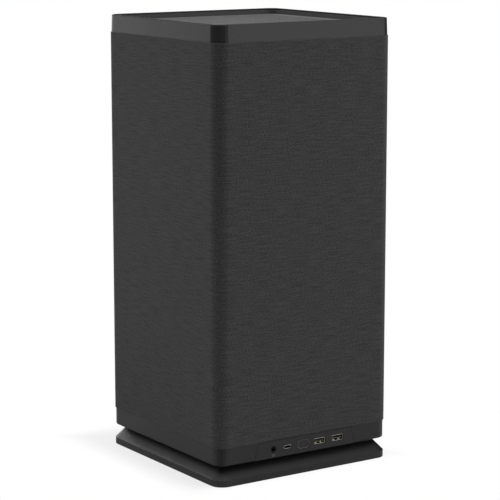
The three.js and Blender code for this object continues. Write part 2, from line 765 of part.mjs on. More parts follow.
// Processor cooler: a base on the socket, pipes up to the fins and through them.
const coolerLevel = boardFoot + mainboard.size - socket.drop;
const coolerFoot = boardFace + socket.height + seam;
const finFoot = coolerFoot + coolerBase.height + coolerPipe.reach;
const finTop = finFoot + coolerFin.height;

function cooler() {
  const base = block(
    [coolerFoot, coolerFoot + coolerBase.height],
    about(0, coolerBase.size),
    about(coolerLevel, coolerBase.size),
  );
  const finLevel = (i) => coolerLevel + (i - (coolerFin.count - 1) / 2) * coolerFin.pitch;
  const fins = Array.from({ length: coolerFin.count }, (_, i) =>
    block([finFoot, finTop], about(0, coolerFin.width), about(finLevel(i), coolerFin.thickness)),
  );
  const ends = [finLevel(0) - coolerFin.thickness, finLevel(coolerFin.count - 1) + coolerFin.thickness];
  const middleFin = Math.floor(coolerFin.count / 2);
  const pipes = [-1, 1].flatMap((side) => {
    const through = new THREE.Vector3((finFoot + finTop) / 2, side * coolerPipe.spacing, 0);
    const feet = [middleFin - 2, middleFin + 1].map((i) => {
      const place = new THREE.Vector3(0, (side * coolerBase.size) / 4, finLevel(i));
      return bar(X, coolerPipe.radius, [coolerFoot + coolerBase.height - seam, finTop - seam], place, 8);
    });
    return [bar(Z, coolerPipe.radius, ends, through, 8), ...feet];
  });
  return piece("processor_cooler", join(base, ...fins, ...pipes), "aluminium");
}

// Shares of the turn from one blade to the next that a blade sweeps back and spans.
const sweepShare = 0.4;
const chordShare = 0.82;

// Fans are made standing on Z = 0 with the hub's cap facing +Z. The motor's base is a disc on
// four struts, with a bearing tube round the rotor's shaft.
const fanParts = { base: 3, tube: 4.5, shaft: 1.5, cap: 2, wall: 1.6, strut: 4, play: 0.5, tip: 1.3 };

function fanFrame(fan) {
  const outer = block(about(0, fan.size), about(0, fan.size), [0, fan.depth]);
  const through = [-overrun, fan.depth + overrun];
  const bored = cut(outer, bar(Z, fan.bore, through, new THREE.Vector3(), 2 * fan.rotorSteps));
  return join(bored, ...motorMount(fan, fan.bore + fanParts.strut));
}

// The motor's base, tube and struts that reach out to a given distance.
function motorMount(fan, reach) {
  const boreRadius = fanParts.shaft + seam;
  const tubeTop = fan.depth - 2 * fanParts.play - fanParts.cap - fanParts.play;
  const base = turned(
    [
      [boreRadius, 0],
      [fan.hub, 0],
      [fan.hub, fanParts.base],
      [fanParts.tube, fanParts.base],
      [fanParts.tube, tubeTop],
      [boreRadius, tubeTop],
      [boreRadius, 0],
    ],
    fan.rotorSteps,
  );
  const struts = [0, 1, 2, 3].map((i) => {
    const arm = block([fan.hub - fanParts.strut / 2, reach], about(0, fanParts.strut), [0, fanParts.base]);
    return arm.rotateZ(quarter * i + quarter / 2);
  });
  const inside = struts.map((arm) => clip(arm, fan.size));
  return [base, ...inside];
}

// The part of a geometry inside a square of the given width.
function clip(geometry, width) {
  const room = block(about(0, width), about(0, width), about(0, width));
  return toGeometry(toSolid(geometry).intersect(toSolid(room)));
}

// One blade: a thin sheet that twists and sweeps back from the hub to the tip.
function blade([root, tip], [low, high], sweep, chord, thickness, across) {
  const along = 3;
  const points = [];
  for (const side of [1, -1])
    for (let i = 0; i <= across; i += 1)
      for (let j = 0; j <= along; j += 1) {
        const out = i / across;
        const back = j / along - 1 / 2;
        const radius = root + (tip - root) * out;
        const turn = sweep * out * out + back * chord;
        const rise = (high - low - thickness) * (1 - out / 3);
        const level = (low + high) / 2 + back * rise + (side * thickness) / 2;
        points.push(radius * Math.cos(turn), radius * Math.sin(turn), level);
      }
  const row = along + 1;
  const layer = row * (across + 1);
  const index = [];
  for (let i = 0; i < across; i += 1)
    for (let j = 0; j < along; j += 1) {
      const a = i * row + j;
      const b = layer + a;
      index.push(a, a + row, a + row + 1, a, a + row + 1, a + 1);
      index.push(b, b + row + 1, b + row, b, b + 1, b + row + 1);
    }
  const rim = [];
  for (let j = 0; j < along; j += 1) rim.push(j);
  for (let i = 0; i < across; i += 1) rim.push(along + i * row);
  for (let j = along; j > 0; j -= 1) rim.push(across * row + j);
  for (let i = across; i > 0; i -= 1) rim.push(i * row);
  rim.forEach((a, i) => {
    const b = rim[(i + 1) % rim.length];
    index.push(a, b, layer + b, a, layer + b, layer + a);
  });
  const geometry = new THREE.BufferGeometry();
  geometry.setAttribute("position", new THREE.Float32BufferAttribute(points, 3));
  geometry.setIndex(index);
  return geometry;
}

function fanRotor(fan) {
  const top = fan.depth - 2 * fanParts.play;
  const foot = fanParts.base + fanParts.play;
  const capFoot = top - fanParts.cap;
  const hub = turned(
    [
      [0, top],
      [fan.hub, top],
      [fan.hub, foot],
      [fan.hub - fanParts.wall, foot],
      [fan.hub - fanParts.wall, capFoot],
      [fanParts.shaft, capFoot],
      [fanParts.shaft, foot],
      [0, foot],
    ],
    fan.rotorSteps,
  );
  const turn = (2 * Math.PI) / fan.blades;
  const blades = Array.from({ length: fan.blades }, (_, i) => {
    const reach = [fan.hub - fanParts.wall / 2, fan.bore - fanParts.tip];
    const levels = [foot + fanParts.play, top - fanParts.play];
    const one = blade(reach, levels, turn * sweepShare, turn * chordShare, fanParts.wall, fan.bladeSteps);
    return one.rotateZ(turn * i);
  });
  return join(hub, ...blades);
}

// A fan whose bore leaves the given wall in its square frame.
function framed(fan) {
  return { ...fan, bore: fan.size / 2 - fan.wall };
}

function coolerFanSet() {
  const set = new THREE.Group();
  const fan = framed(coolerFan);
  set.add(piece("cooler_fan_frame", fanFrame(fan), "plastic"));
  set.add(piece("cooler_fan_rotor", fanRotor(fan), "mattBlack"));
  set.rotation.y = quarter;
  set.position.set(finTop + seam, 0, (coolerFanFoot + coolerFanTop) / 2);
  return set;
}

// Graphics card
const cardBoardTop = cardTop - card.boardEnd;
const cardFanLevels = [cardFoot + cardFanInset, cardTop - cardFanInset];
const cardRotor = { ...cardFan, bore: cardFan.radius + cardFan.tip, size: 2 * cardFan.radius };

function graphicsCard() {
  const set = new THREE.Group();
  const boardX = [cardFace, cardFace + card.thickness];
  const board = block(boardX, about(0, card.depth - 2 * backPlate.edge), [cardFoot, cardBoardTop]);
  const plateX = [cardBack - backPlate.thickness, cardBack];
  const plate = block(plateX, about(0, card.depth), [cardFoot, cardTop]);
  set.add(piece("card_board", board, "board"), piece("card_back_plate", plate, "steel"));

  const finSpan = [cardFoot + cardSink.edge, cardTop - cardSink.edge];
  const finDepth = card.depth - 2 * backPlate.edge;
  const baseSpan = [finSpan[0], cardBoardTop - cardSink.edge];
  const base = block([cardFace - cardSink.base, cardFace], about(0, finDepth), baseSpan);
  const count = Math.floor((finSpan[1] - finSpan[0]) / cardSink.pitch);
  const fins = Array.from({ length: count }, (_, i) => {
    const level = finSpan[0] + (i + 1 / 2) * ((finSpan[1] - finSpan[0]) / count);
    return block([sinkFace, cardFace - seam], about(0, finDepth), about(level, cardSink.fin));
  });
  const backbone = block([sinkFace + cardSink.base, cardFace - seam], about(0, cardSink.base), finSpan);
  const pedestals = cardFanLevels.flatMap((level) => {
    const centre = new THREE.Vector3(0, 0, level);
    const [motor] = motorMount(cardRotor, cardFan.hub);
    motor.rotateY(-quarter).translate(sinkFace - seam, 0, level);
    const reach = [sinkFace - seam - fanParts.base / 2, cardFace - seam];
    return [bar(X, cardSink.pedestal, reach, centre, cardFan.rotorSteps), motor];
  });
  set.add(piece("card_heatsink", join(base, backbone, ...fins, ...pedestals), "aluminium"));

  const body = block([cardFront, sinkFace], about(0, card.depth), [cardFoot, cardTop]);
  const room = block(
    [cardFront + shroud.wall, sinkFace + overrun],
    about(0, card.depth - 2 * shroud.wall),
    [cardFoot + shroud.wall, cardTop - shroud.wall],
  );
  const holes = cardFanLevels.map((level) => {
    const centre = new THREE.Vector3(0, 0, level);
    return bar(X, cardRotor.bore, [cardFront - overrun, sinkFace], centre, 2 * cardFan.rotorSteps);
  });
  set.add(piece("card_shroud", cut(body, room, ...holes), "mattBlack"));

  cardFanLevels.forEach((level, i) => {
    const fan = new THREE.Group();
    fan.add(piece("card_fan_rotor_" + ["lower", "upper"][i], fanRotor(cardRotor), "mattBlack"));
    fan.rotation.y = -quarter;
    fan.position.set(sinkFace - seam, 0, level);
    set.add(fan);
  });

  const bracketX = [cardFront, cardBack];
  const plateBlank = block(bracketX, about(0, card.depth), [deckBottom, deckTop]);
  const ports = Array.from({ length: cardPort.count }, (_, i) => {
    const middle = (i - (cardPort.count - 1) / 2) * cardPort.pitch;
    return block(about(cardFace - cardPort.height, cardPort.height), about(middle, cardPort.width), [
      deckBottom - overrun,
      deckTop + overrun,
    ]);
  });
  set.add(piece("card_bracket", cut(plateBlank, ...ports), "bareSteel"));
  return set;
}

// Riser: a flat ribbon from the mainboard's long socket round the spine's back edge to the card.
function riserRibbon() {
  const from = boardFace + riserSlot.height + seam;
  const slotY = mainboard.size / 2 - riserSlot.inset - riserSlot.width / 2;
  const edge = card.depth / 2 - backPlate.edge + seam;
  const outer = slotY + riser.loop;
  const middle = cardFace + card.thickness / 2;
  const t = riser.thickness;
  const outline = [
    [from, slotY - t / 2],
    [from + riser.loop, slotY - t / 2],
    [from + riser.loop, outer + t],
    [middle - t / 2, outer + t],
    [middle - t / 2, edge],
    [middle + t / 2, edge],
    [middle + t / 2, outer],
    [from + riser.loop - t, outer],
    [from + riser.loop - t, slotY + t / 2],
    [from, slotY + t / 2],
  ];
  const low = boardFoot + riserSlot.rise + portRun.height + (riserSlot.length - riser.width) / 2;
  return piece("riser_ribbon", prism(outline, Z, [low, low + riser.width]), "plastic");
}

// Power supply: a folded case with a round fan hole in its right face.
const supplyLevel = supplyFoot + supply.length / 2;
const supplyFrame = framed({ ...supplyFan, size: supply.length - 2 * supply.fanMargin });

function powerSupply() {
  const set = new THREE.Group();
  const outer = block([spineFace, supplyFace], about(0, supply.width), about(supplyLevel, supply.length));
  const room = block(
    [spineFace + supply.wall, supplyFace - supply.wall],
    about(0, supply.width - 2 * supply.wall),
    about(supplyLevel, supply.length - 2 * supply.wall),
  );
  const centre = new THREE.Vector3(0, 0, supplyLevel);
  const through = [supplyFace - supply.wall - overrun, supplyFace + overrun];
  const hole = bar(X, supplyFrame.bore, through, centre, 2 * supplyFrame.rotorSteps);
  set.add(piece("supply_case", cut(outer, room, hole), "steel"));

  const inner = supply.wall + seam;
  const fanFoot = supplyFace - inner - supplyFan.depth;
  const core = block(
    [spineFace + inner, fanFoot - seam],
    about(0, supply.width - 2 * inner),
    about(supplyLevel, supply.length - 2 * inner),
  );
  set.add(piece("supply_core", core, "board"));

  const fan = new THREE.Group();
  fan.add(piece("supply_fan_frame", fanFrame(supplyFrame), "plastic"));
  fan.add(piece("supply_fan_rotor", fanRotor(supplyFrame), "mattBlack"));
  fan.rotation.y = quarter;
  fan.position.set(fanFoot, 0, supplyLevel);
  set.add(fan);

  const outerRing = supplyFrame.bore + guard.ring;
  const rings = Array.from({ length: guard.rings }, (_, i) => {
    const outside = outerRing * (1 - i / guard.rings);
    const inside = outside - guard.ring;
    const top = guard.thickness;
    return turned([[inside, 0], [outside, 0], [outside, top], [inside, top], [inside, 0]]);
  });
  const bars = [0, 1].map((i) => {
    const length = about(0, 2 * (outerRing - guard.ring / 2));
    return block(length, about(0, guard.bar), [0, guard.thickness]).rotateZ(quarter * (i + 1 / 2));
  });
  const wire = join(...rings, ...bars).applyMatrix4(new THREE.Matrix4().makeRotationY(quarter));
  set.add(piece("supply_guard", wire.translate(supplyFace, 0, supplyLevel), "bareSteel"));
  return set;
}

// Mains inlet: a flanged housing in the deck, its socket facing down into the cable bay.
function mainsInlet() {
  const { x, y } = inletPlace;
  const low = deckBottom - inletFlange.thickness;
  const body = block(about(x, inlet.width), about(y, inlet.depth), [low, inletTop]);
  const flangeWidth = inlet.width + 2 * inletFlange.reach;
  const flange = block(about(x, flangeWidth), about(y, inlet.depth), [low, deckBottom]);
  const room = block(about(x, inlet.width - 2 * inlet.wall), about(y, inlet.depth - 2 * inlet.wall), [
    low - overrun,
    low + inlet.socket,
  ]);
  const pinLevels = [low + inlet.wall, low + inlet.socket + seam];
  const pins = [-1, 0, 1].map((i) => {
    const place = x + (i * inlet.width) / 4;
    return block(about(place, 2 * inlet.pin), about(y, 4 * inlet.pin), pinLevels);
  });
  return piece("mains_inlet", join(cut(join(body, flange), room), ...pins), "plastic");
}

// Lead from the inlet up behind the cooler fan to the foot of the power supply.
function mainsLead() {
  const endX = supplyFace - lead.faceInset;
  const endY = supply.width / 2 - lead.sideInset;
  const start = new THREE.Vector3(inletPlace.x, inletPlace.y, inletTop + seam);
  const way = new THREE.Vector3(endX, endY, supplyFoot - seam).sub(start);
  const points = leadRouteShares.map((shares) => new THREE.Vector3(...shares).multiply(way).add(start));
  const path = new THREE.CatmullRomCurve3(points);
  const section = Array.from({ length: lead.sides }, (_, i) => {
    const turn = (2 * Math.PI * i) / lead.sides;
    return new THREE.Vector2(lead.radius * Math.cos(turn), lead.radius * Math.sin(turn));
  });
  const options = { steps: lead.steps, bevelEnabled: false, extrudePath: path };
  return piece("mains_lead", new THREE.ExtrudeGeometry(new THREE.Shape(section), options), "rubber");
}

// Top tray, and the fan that stands on it
const topFrame = framed({ ...topFan, size: 2 * (chassisHalf - topFan.sideRoom) });

function topTray() {
  const plate = prism(chassisOutline(0), Z, [trayBottom, trayTop]);
  const through = [trayBottom - overrun, trayTop + overrun];
  const hole = bar(Z, topFrame.bore, through, new THREE.Vector3(), 2 * topFan.rotorSteps);
  return piece("top_tray", cut(plate, hole), "steel");
}

function topFanSet() {
  const set = new THREE.Group();
  set.add(piece("top_fan_frame", fanFrame(topFrame), "plastic"));
  set.add(piece("top_fan_rotor", fanRotor(topFrame), "mattBlack"));
  set.position.z = trayTop;
  return set;
}

// Middles of as many openings as fit in a length, with a rib between each two, about zero.
function spread(length, opening, rib) {
  const pitch = opening + rib;
  const count = Math.floor((length + rib) / pitch);
  return Array.from({ length: count }, (_, i) => (i - (count - 1) / 2) * pitch);
}

// Sleeve: four stiff walls with rows of windows, each with half of its two round corners. They
// carry the cloth and lift off with it.
function sleeve() {
  const outerIn = half - sleeveOuter;
  const innerIn = half - sleeveInner;
  const profile = [[outerIn, bandTop], [innerIn, bandTop], [innerIn, clothTop], [outerIn, clothTop]];
  const tube = squareSkin(profile, true);
  const rows = spread(clothTop - bandTop, sleeveWindow.size, sleeveWindow.rowRib);
  const flat = 2 * (half - cornerRadius - sleeveWindow.cornerMargin);
  const columns = spread(flat, sleeveWindow.size, sleeveWindow.columnRib);
  const frontWindows = rows.flatMap((row) =>
    columns.map((column) => {
      const levels = about((bandTop + clothTop) / 2 + row, sleeveWindow.size);
      return block(about(column, sleeveWindow.size), [-half, 0], levels);
    }),
  );
  const apex = -seam * Math.SQRT1_2;
  const quarterOutline = [[0, apex], [-half, apex - half], [half, apex - half]];
  const frontQuarter = prism(quarterOutline, Z, [bandTop, clothTop]);
  const wall = toSolid(cut(tube, ...frontWindows)).intersect(toSolid(frontQuarter));
  const set = new THREE.Group();
  ["front", "right", "rear", "left"].forEach((side, i) => {
    set.add(piece("sleeve_" + side, toGeometry(wall).rotateZ(quarter * i), "plastic"));
  });
  return set;
}

function clothWrap() {
  const innerIn = clothThickness;
  const wrap = squareSkin([[0, bandTop], [innerIn, bandTop], [innerIn, clothTop], [0, clothTop]], true);
  return piece("cloth_wrap", wrap, "cloth");
}

// Rim: a tapered ring with a thin lip, a ledge for the panel and a skirt inside the sleeve.
const panelTop = rimTop - panelSink;
const panelBottom = panelTop - panelThickness;
const rimWallIn = rimLip.inset + rimLip.width;

function topRim() {
  const skirtIn = half - sleeveInner + seam;
  const innerIn = skirtIn + skirt.thickness;
  const ring = squareSkin(
    [
      [rimFootInset, clothTop],
      [rimLip.inset, rimTop - rimLip.round],
      [rimLip.inset + rimLip.drop, rimTop - rimLip.drop],
      [rimLip.inset + rimLip.round, rimTop],
      [rimWallIn - rimLip.drop, rimTop],
      [rimWallIn, rimTop - rimLip.drop],
      [rimWallIn, panelBottom],
      [rimWallIn + panelLedge.width, panelBottom],
      [rimWallIn + panelLedge.width, panelBottom - panelLedge.thickness],
      [innerIn, panelBottom - panelLedge.thickness],
      [innerIn, clothTop - skirt.drop],
      [skirtIn, clothTop - skirt.drop],
      [skirtIn, clothTop],
    ],
    true,
  );
  return piece("top_rim", ring, "satinBlack");
}

function topPanel() {
  const edge = rimWallIn + seam;
  const plate = squareSkin([[edge, panelBottom], [edge, panelTop]], false);
  const through = [panelBottom - overrun, panelTop + overrun];
  const field = 2 * (half - edge - panelSlot.margin);
  const slotWidth = (field - panelSlot.rib) / 2;
  const slots = [];
  for (const row of spread(field, panelSlot.height, panelSlot.pitch - panelSlot.height))
    for (const side of [-1, 1]) {
      const middle = (side * (slotWidth + panelSlot.rib)) / 2;
      slots.push(block(about(middle, slotWidth), about(row, panelSlot.height), through));
    }
  return piece("top_panel", cut(plate, ...slots), "panelGrey");
}

const tower = new THREE.Group();
tower.add(
  basePlinth(),
  plinthSet(),
  bottomBand(),
  portInsert(),
  portCircuit(),
  usbPorts(),
  headsetJack(),
  buttonSwitch(),
  powerButton(),
  chassisFloor(),
  uprights(),
  portDeck(),
  spinePlate(),
  mainboardSet(),
  downwardPorts(),
  driveSpreader(),
  cooler(),
  coolerFanSet(),
  graphicsCard(),
  riserRibbon(),
  powerSupply(),
  mainsInlet(),
  mainsLead(),
  topTray(),
  topFanSet(),
  sleeve(),
  clothWrap(),
  topRim(),
  topPanel(),
);

export default tower;
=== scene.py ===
# %% [markdown]
# A desktop computer in a square, cloth-wrapped tower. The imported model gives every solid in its
# place, in metres. This lesson dresses it: first the studio and the camera, then the finishes,
# then the pieces whose real form is finer than the solids, such as the cloth cover, the
# perforated top and the sockets. Loading comes first, because every piece is placed by the
# solids' own boxes.

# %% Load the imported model
import math

import bpy
import numpy as np
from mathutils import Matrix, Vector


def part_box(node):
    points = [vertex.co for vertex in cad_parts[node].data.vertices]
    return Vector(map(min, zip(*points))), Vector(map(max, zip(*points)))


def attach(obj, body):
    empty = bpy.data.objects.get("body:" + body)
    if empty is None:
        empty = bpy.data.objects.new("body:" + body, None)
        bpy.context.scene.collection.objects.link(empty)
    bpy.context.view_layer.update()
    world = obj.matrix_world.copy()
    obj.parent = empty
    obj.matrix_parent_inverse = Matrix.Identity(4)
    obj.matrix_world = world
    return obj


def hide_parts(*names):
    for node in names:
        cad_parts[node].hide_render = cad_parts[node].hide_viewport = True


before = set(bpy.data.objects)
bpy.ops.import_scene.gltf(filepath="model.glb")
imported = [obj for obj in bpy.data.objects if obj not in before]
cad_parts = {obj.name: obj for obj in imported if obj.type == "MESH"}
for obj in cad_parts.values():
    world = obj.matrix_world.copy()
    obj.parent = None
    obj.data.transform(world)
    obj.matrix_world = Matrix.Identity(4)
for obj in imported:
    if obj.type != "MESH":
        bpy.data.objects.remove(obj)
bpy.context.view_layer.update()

MM = 0.001
METRE = 1000.0

# %% [markdown]
# The photograph's uprights are parallel, as from far away with a long lens. The camera stands
# two metres off, to the left of the front, and looks down by ten degrees. A long lens without
# any shift comes within a few pixels of the photograph's outline, and it also keeps the tower
# in the middle of the frame from every other side.

# %% Camera
WIDTH = 0.206
AZIMUTH, ELEVATION = math.radians(-33.88), math.radians(10.16)
DISTANCE = 9.76 * WIDTH
SIDEWAYS = 0.011 * WIDTH
AIM_HEIGHT = 1.014 * WIDTH
SENSOR, LENS = 36.0, 142.8

across = np.array([math.cos(AZIMUTH), math.sin(AZIMUTH), 0.0])
back = np.array([
    math.sin(AZIMUTH) * math.cos(ELEVATION),
    -math.cos(AZIMUTH) * math.cos(ELEVATION),
    math.sin(ELEVATION),
])
aim = across * SIDEWAYS + np.array([0.0, 0.0, AIM_HEIGHT])
scene = bpy.context.scene
camera_data = bpy.data.cameras.new("camera")
camera_data.lens, camera_data.sensor_width = LENS, SENSOR
camera = bpy.data.objects.new("camera", camera_data)
scene.collection.objects.link(camera)
camera.matrix_world = (
    Matrix.Translation(aim + back * DISTANCE)
    @ Vector(back).to_track_quat("Z", "Y").to_matrix().to_4x4()
)
scene.camera = camera
scene.view_settings.view_transform = "Standard"
print("camera at", [round(v, 3) for v in camera.matrix_world.translation])

# %% [markdown]
# Colours are written as sRGB hex, the way a colour picker shows them, and Blender shades in
# linear light. One function makes the change. A second one adds a node to a material, with
# its settings and its links, and every pattern below is built with it. Three short ones follow
# from it: for sums, for a new material, and for a bump.

# %% Colour and node helpers
def linear(code):
    """sRGB hex to linear light: c / 12.92 below 0.04045, else ((c + 0.055) / 1.055) ** 2.4."""
    srgb = [int(code[i:i + 2], 16) / 255 for i in (0, 2, 4)]
    rgb = [c / 12.92 if c <= 0.04045 else ((c + 0.055) / 1.055) ** 2.4 for c in srgb]
    return (*rgb, 1.0)


def add(tree, kind, inputs=None, **settings):
    """Adds a node: settings are its properties, inputs are values or other nodes' outputs."""
    made = tree.nodes.new(kind)
    for name, value in settings.items():
        setattr(made, name, value)
    for socket, value in (inputs or {}).items():
        if isinstance(value, bpy.types.NodeSocket):
            tree.links.new(value, made.inputs[socket])
        else:
            made.inputs[socket].default_value = value
    return made


def maths(tree, operation, *values):
    """The output of a Math node whose inputs are these values or outputs, in order."""
    return add(tree, "ShaderNodeMath", dict(enumerate(values)), operation=operation).outputs[0]


def new_material(name, **sockets):
    """A material whose Principled shader has the given socket values."""
    material = bpy.data.materials.new(name)
    material.use_nodes = True
    shader = material.node_tree.nodes["Principled BSDF"]
    for socket, value in sockets.items():
        shader.inputs[socket.replace("_", " ")].default_value = value
    return material, material.node_tree, shader


def raise_surface(tree, shader, height, depth_mm, strength=1.0):
    """Bumps a shader's surface: a height of 1 stands depth_mm above a height of 0."""
    bump = add(tree, "ShaderNodeBump", {"Height": height, "Distance": depth_mm * MM, "Strength": strength})
    tree.links.new(bump.outputs[0], shader.inputs["Normal"])


WHITE = linear("ffffff")
print("mid grey", round(linear("808080")[0], 3))

# %% [markdown]
# The studio is a white floor in a white room. A real backdrop is one roll of paper, curved up
# behind the object, but its fold would show in the other views. Here the world is plain white
# to the camera and dim to the object, and the floor fades into the same white a little way out.
# Near the tower it stays paper, so that it keeps the shadow.

# %% World and floor
AMBIENT = 0.20
FLOOR_REACH = 9.0
# A fade has the distances from the tower where it starts and ends, and its least share of white.
SEEN_FADE = (0.100, 0.140, 0.72)
MIRRORED_FADE = (0.20, 0.70, 0.0)
SHADOW_SHIFT = (0.006, -0.025, 0.0)

world = bpy.data.worlds.new("studio")
world.use_nodes = True
scene.world = world
tree = world.node_tree
rays = add(tree, "ShaderNodeLightPath").outputs
seen = maths(tree, "MAXIMUM", rays["Is Camera Ray"], rays["Is Glossy Ray"])
seen = maths(tree, "MAXIMUM", seen, rays["Is Transmission Ray"])
dim, full = (add(tree, "ShaderNodeBackground", {"Color": WHITE, "Strength": strength}).outputs[0]
             for strength in (AMBIENT, 1.0))
both = add(tree, "ShaderNodeMixShader", {0: seen, 1: dim, 2: full})
tree.links.new(both.outputs[0], tree.nodes["World Output"].inputs["Surface"])


def mesh_object(name, points, faces, smooth=False):
    """A mesh object from an array of points and a list of faces, at the origin."""
    mesh = bpy.data.meshes.new(name)
    mesh.from_pydata(np.asarray(points, float).tolist(), [], [list(map(int, f)) for f in faces])
    mesh.polygons.foreach_set("use_smooth", [smooth] * len(mesh.polygons))
    mesh.update()
    made = bpy.data.objects.new(name, mesh)
    scene.collection.objects.link(made)
    return made


floor_corners = np.array([[-1, -1, 0], [1, -1, 0], [1, 1, 0], [-1, 1, 0]]) * FLOOR_REACH
floor = mesh_object("floor", floor_corners, [(0, 1, 2, 3)])
paper, tree, shader = new_material("white_paper_floor", Base_Color=linear("e2e2e2"), Roughness=0.9)
place = add(tree, "ShaderNodeTexCoord").outputs["Object"]
moved = add(tree, "ShaderNodeVectorMath", {0: place, 1: SHADOW_SHIFT})
away = add(tree, "ShaderNodeVectorMath", {0: moved.outputs[0]}, operation="ABSOLUTE")
away = add(tree, "ShaderNodeSeparateXYZ", {0: away.outputs[0]}).outputs
square = maths(tree, "MAXIMUM", away[0], away[1])
rays = add(tree, "ShaderNodeLightPath").outputs
mirrored = maths(tree, "MAXIMUM", rays["Is Glossy Ray"], rays["Is Transmission Ray"])
shares = []
for ray, (near, far, least) in ((rays["Is Camera Ray"], SEEN_FADE), (mirrored, MIRRORED_FADE)):
    fade = add(tree, "ShaderNodeMapRange", {0: square, 1: near, 2: far, 3: least},
               interpolation_type="SMOOTHSTEP")
    shares.append(maths(tree, "MULTIPLY", ray, fade.outputs[0]))
glow = add(tree, "ShaderNodeEmission", {"Color": WHITE, "Strength": 1.0})
share = maths(tree, "MAXIMUM", *shares)
mix = add(tree, "ShaderNodeMixShader", {0: share, 1: shader.outputs[0], 2: glow.outputs[0]})
tree.links.new(mix.outputs[0], tree.nodes["Material Output"].inputs["Surface"])
floor.data.materials.append(paper)
print("floor", floor.dimensions[:2])

# %% [markdown]
# The light is soft, so the lamps are area lamps: a point lamp or a sun would draw hard shadows.
# They stand behind the left and before the right, so each face gets one of them and the corner
# between gets neither, which is why it looks darker than both faces. The two big ones are kept
# out of the gloss, where they would show as white squares on the rim. A black cloth round the
# camera's side does for the gloss what the lamps' places do for the corner.

# %% Lamps and the black cloth
MIDDLE = Vector((0.0, 0.0, 0.22))
SIDE_LAMP, TOP_LAMP = (1.5, 48), (2.2, 14)
FLAG_RADIUS, FLAG_HEIGHT, FLAG_COLUMNS = 2.35, 2.0, 41
FLAG_FROM, FLAG_TO = math.radians(127), math.radians(290)


def softbox(name, place, size, power, in_gloss=True):
    """A square area lamp of a size in metres and a power in watts, turned to the tower's middle."""
    data = bpy.data.lights.new(name, "AREA")
    data.size, data.energy = size, power
    lamp = bpy.data.objects.new(name, data)
    scene.collection.objects.link(lamp)
    lamp.location = place
    lamp.rotation_mode = "QUATERNION"
    lamp.rotation_quaternion = (MIDDLE - Vector(place)).to_track_quat("-Z", "Y")
    lamp.visible_camera = False
    lamp.visible_glossy = in_gloss


def grid_faces(rows, columns):
    """Quads between the points of an open grid, which are listed row by row."""
    corner = (np.arange(rows - 1)[:, None] * columns + np.arange(columns - 1)).ravel()
    return np.stack([corner, corner + 1, corner + columns + 1, corner + columns], 1).tolist()


softbox("softbox_rear_left", (-1.54, 1.34, 1.9), *SIDE_LAMP, in_gloss=False)
softbox("softbox_front_right", (1.36, -1.10, 2.1), *SIDE_LAMP, in_gloss=False)
softbox("softbox_top", (0.3, 0.2, 2.4), *TOP_LAMP)
turn = np.linspace(FLAG_FROM, FLAG_TO, FLAG_COLUMNS)
ring = np.stack([np.cos(turn), np.sin(turn), np.zeros(FLAG_COLUMNS)], 1) * FLAG_RADIUS
points = np.concatenate([ring, ring + [0, 0, FLAG_HEIGHT]])
flag = mesh_object("black_flag", points, grid_faces(2, FLAG_COLUMNS))
flag.visible_camera = False
felt = new_material("black_felt", Base_Color=linear("0a0a0a"), Roughness=1.0)[0]
flag.data.materials.append(felt)

# %% [markdown]
# On satin plastic the gloss decides which edge looks bright. Photographers steer it with cards,
# and Blender can hide a card from every ray but a glossy one, so that it changes no light and
# throws no shadow. Three of them are patches of a sphere. The black one arches over the right
# side and darkens the rim's right corner and the plinth's front slope. The white one stands
# behind the left and brightens the far end of the plinth's left slope; near the front corner
# the tower hides it. The small black one hangs close over the rear left and hides the white one
# from the rim's lip, but not from the plinth. A flat grey one lies before the front corner,
# where the band would otherwise mirror a floor that is paler than in the photograph.

# %% Gloss cards
CARD_ROWS, CARD_COLUMNS = 9, 13
CARD_GLOW = 8.5
FAR, NEAR, LIFT = -0.9, -0.11, 0.0005


def only_in_gloss(card, material):
    """Hides a card from all rays but the glossy ones, and gives it its material."""
    for ray in ("camera", "diffuse", "shadow", "transmission"):
        setattr(card, f"visible_{ray}", False)
    card.data.materials.append(material)


def gloss_card(name, turns, rises, material, radius=2.7):
    """A patch of a sphere round the origin, between two headings and two heights in degrees:
    radius times (cos turn cos rise, sin turn cos rise, sin rise)."""
    turn, rise = np.meshgrid(
        np.radians(np.linspace(*turns, CARD_COLUMNS)), np.radians(np.linspace(*rises, CARD_ROWS)))
    points = radius * np.stack([np.cos(turn) * np.cos(rise), np.sin(turn) * np.cos(rise), np.sin(rise)], -1)
    only_in_gloss(mesh_object(name, points.reshape(-1, 3), grid_faces(CARD_ROWS, CARD_COLUMNS)), material)


white_glow = new_material(
    "white_card", Base_Color=WHITE, Emission_Color=WHITE, Emission_Strength=CARD_GLOW)[0]
gloss_card("black_card", (325, 400), (-6, 78), felt)
gloss_card("white_card", (62, 96), (15, 44), white_glow)
gloss_card("lip_card", (35, 120), (37, 66), felt, 0.85)
grey_paper = new_material("grey_card", Base_Color=linear("989898"), Roughness=1.0)[0]
card_corners = [(FAR, FAR, LIFT), (NEAR, FAR, LIFT), (NEAR, NEAR, LIFT), (FAR, NEAR, LIFT)]
only_in_gloss(mesh_object("floor_card", card_corners, [(0, 1, 2, 3)]), grey_paper)

# %% [markdown]
# Most of what shows is moulded plastic, painted steel or cloth, all nearly black. What tells
# them apart is their grain and gloss. Each finish below starts from typical values, and its
# pattern reads the object's own coordinates in metres, so a scale in millimetres is turned into
# noise cells per metre. Grain that is too fine for the picture is drawn a little coarser.

# %% Finish helper
NOISE_LOW, NOISE_HIGH = 0.3, 0.7
CLOUDS_PER_METRE, CLOUD_SHIFT = 22.0, 0.25


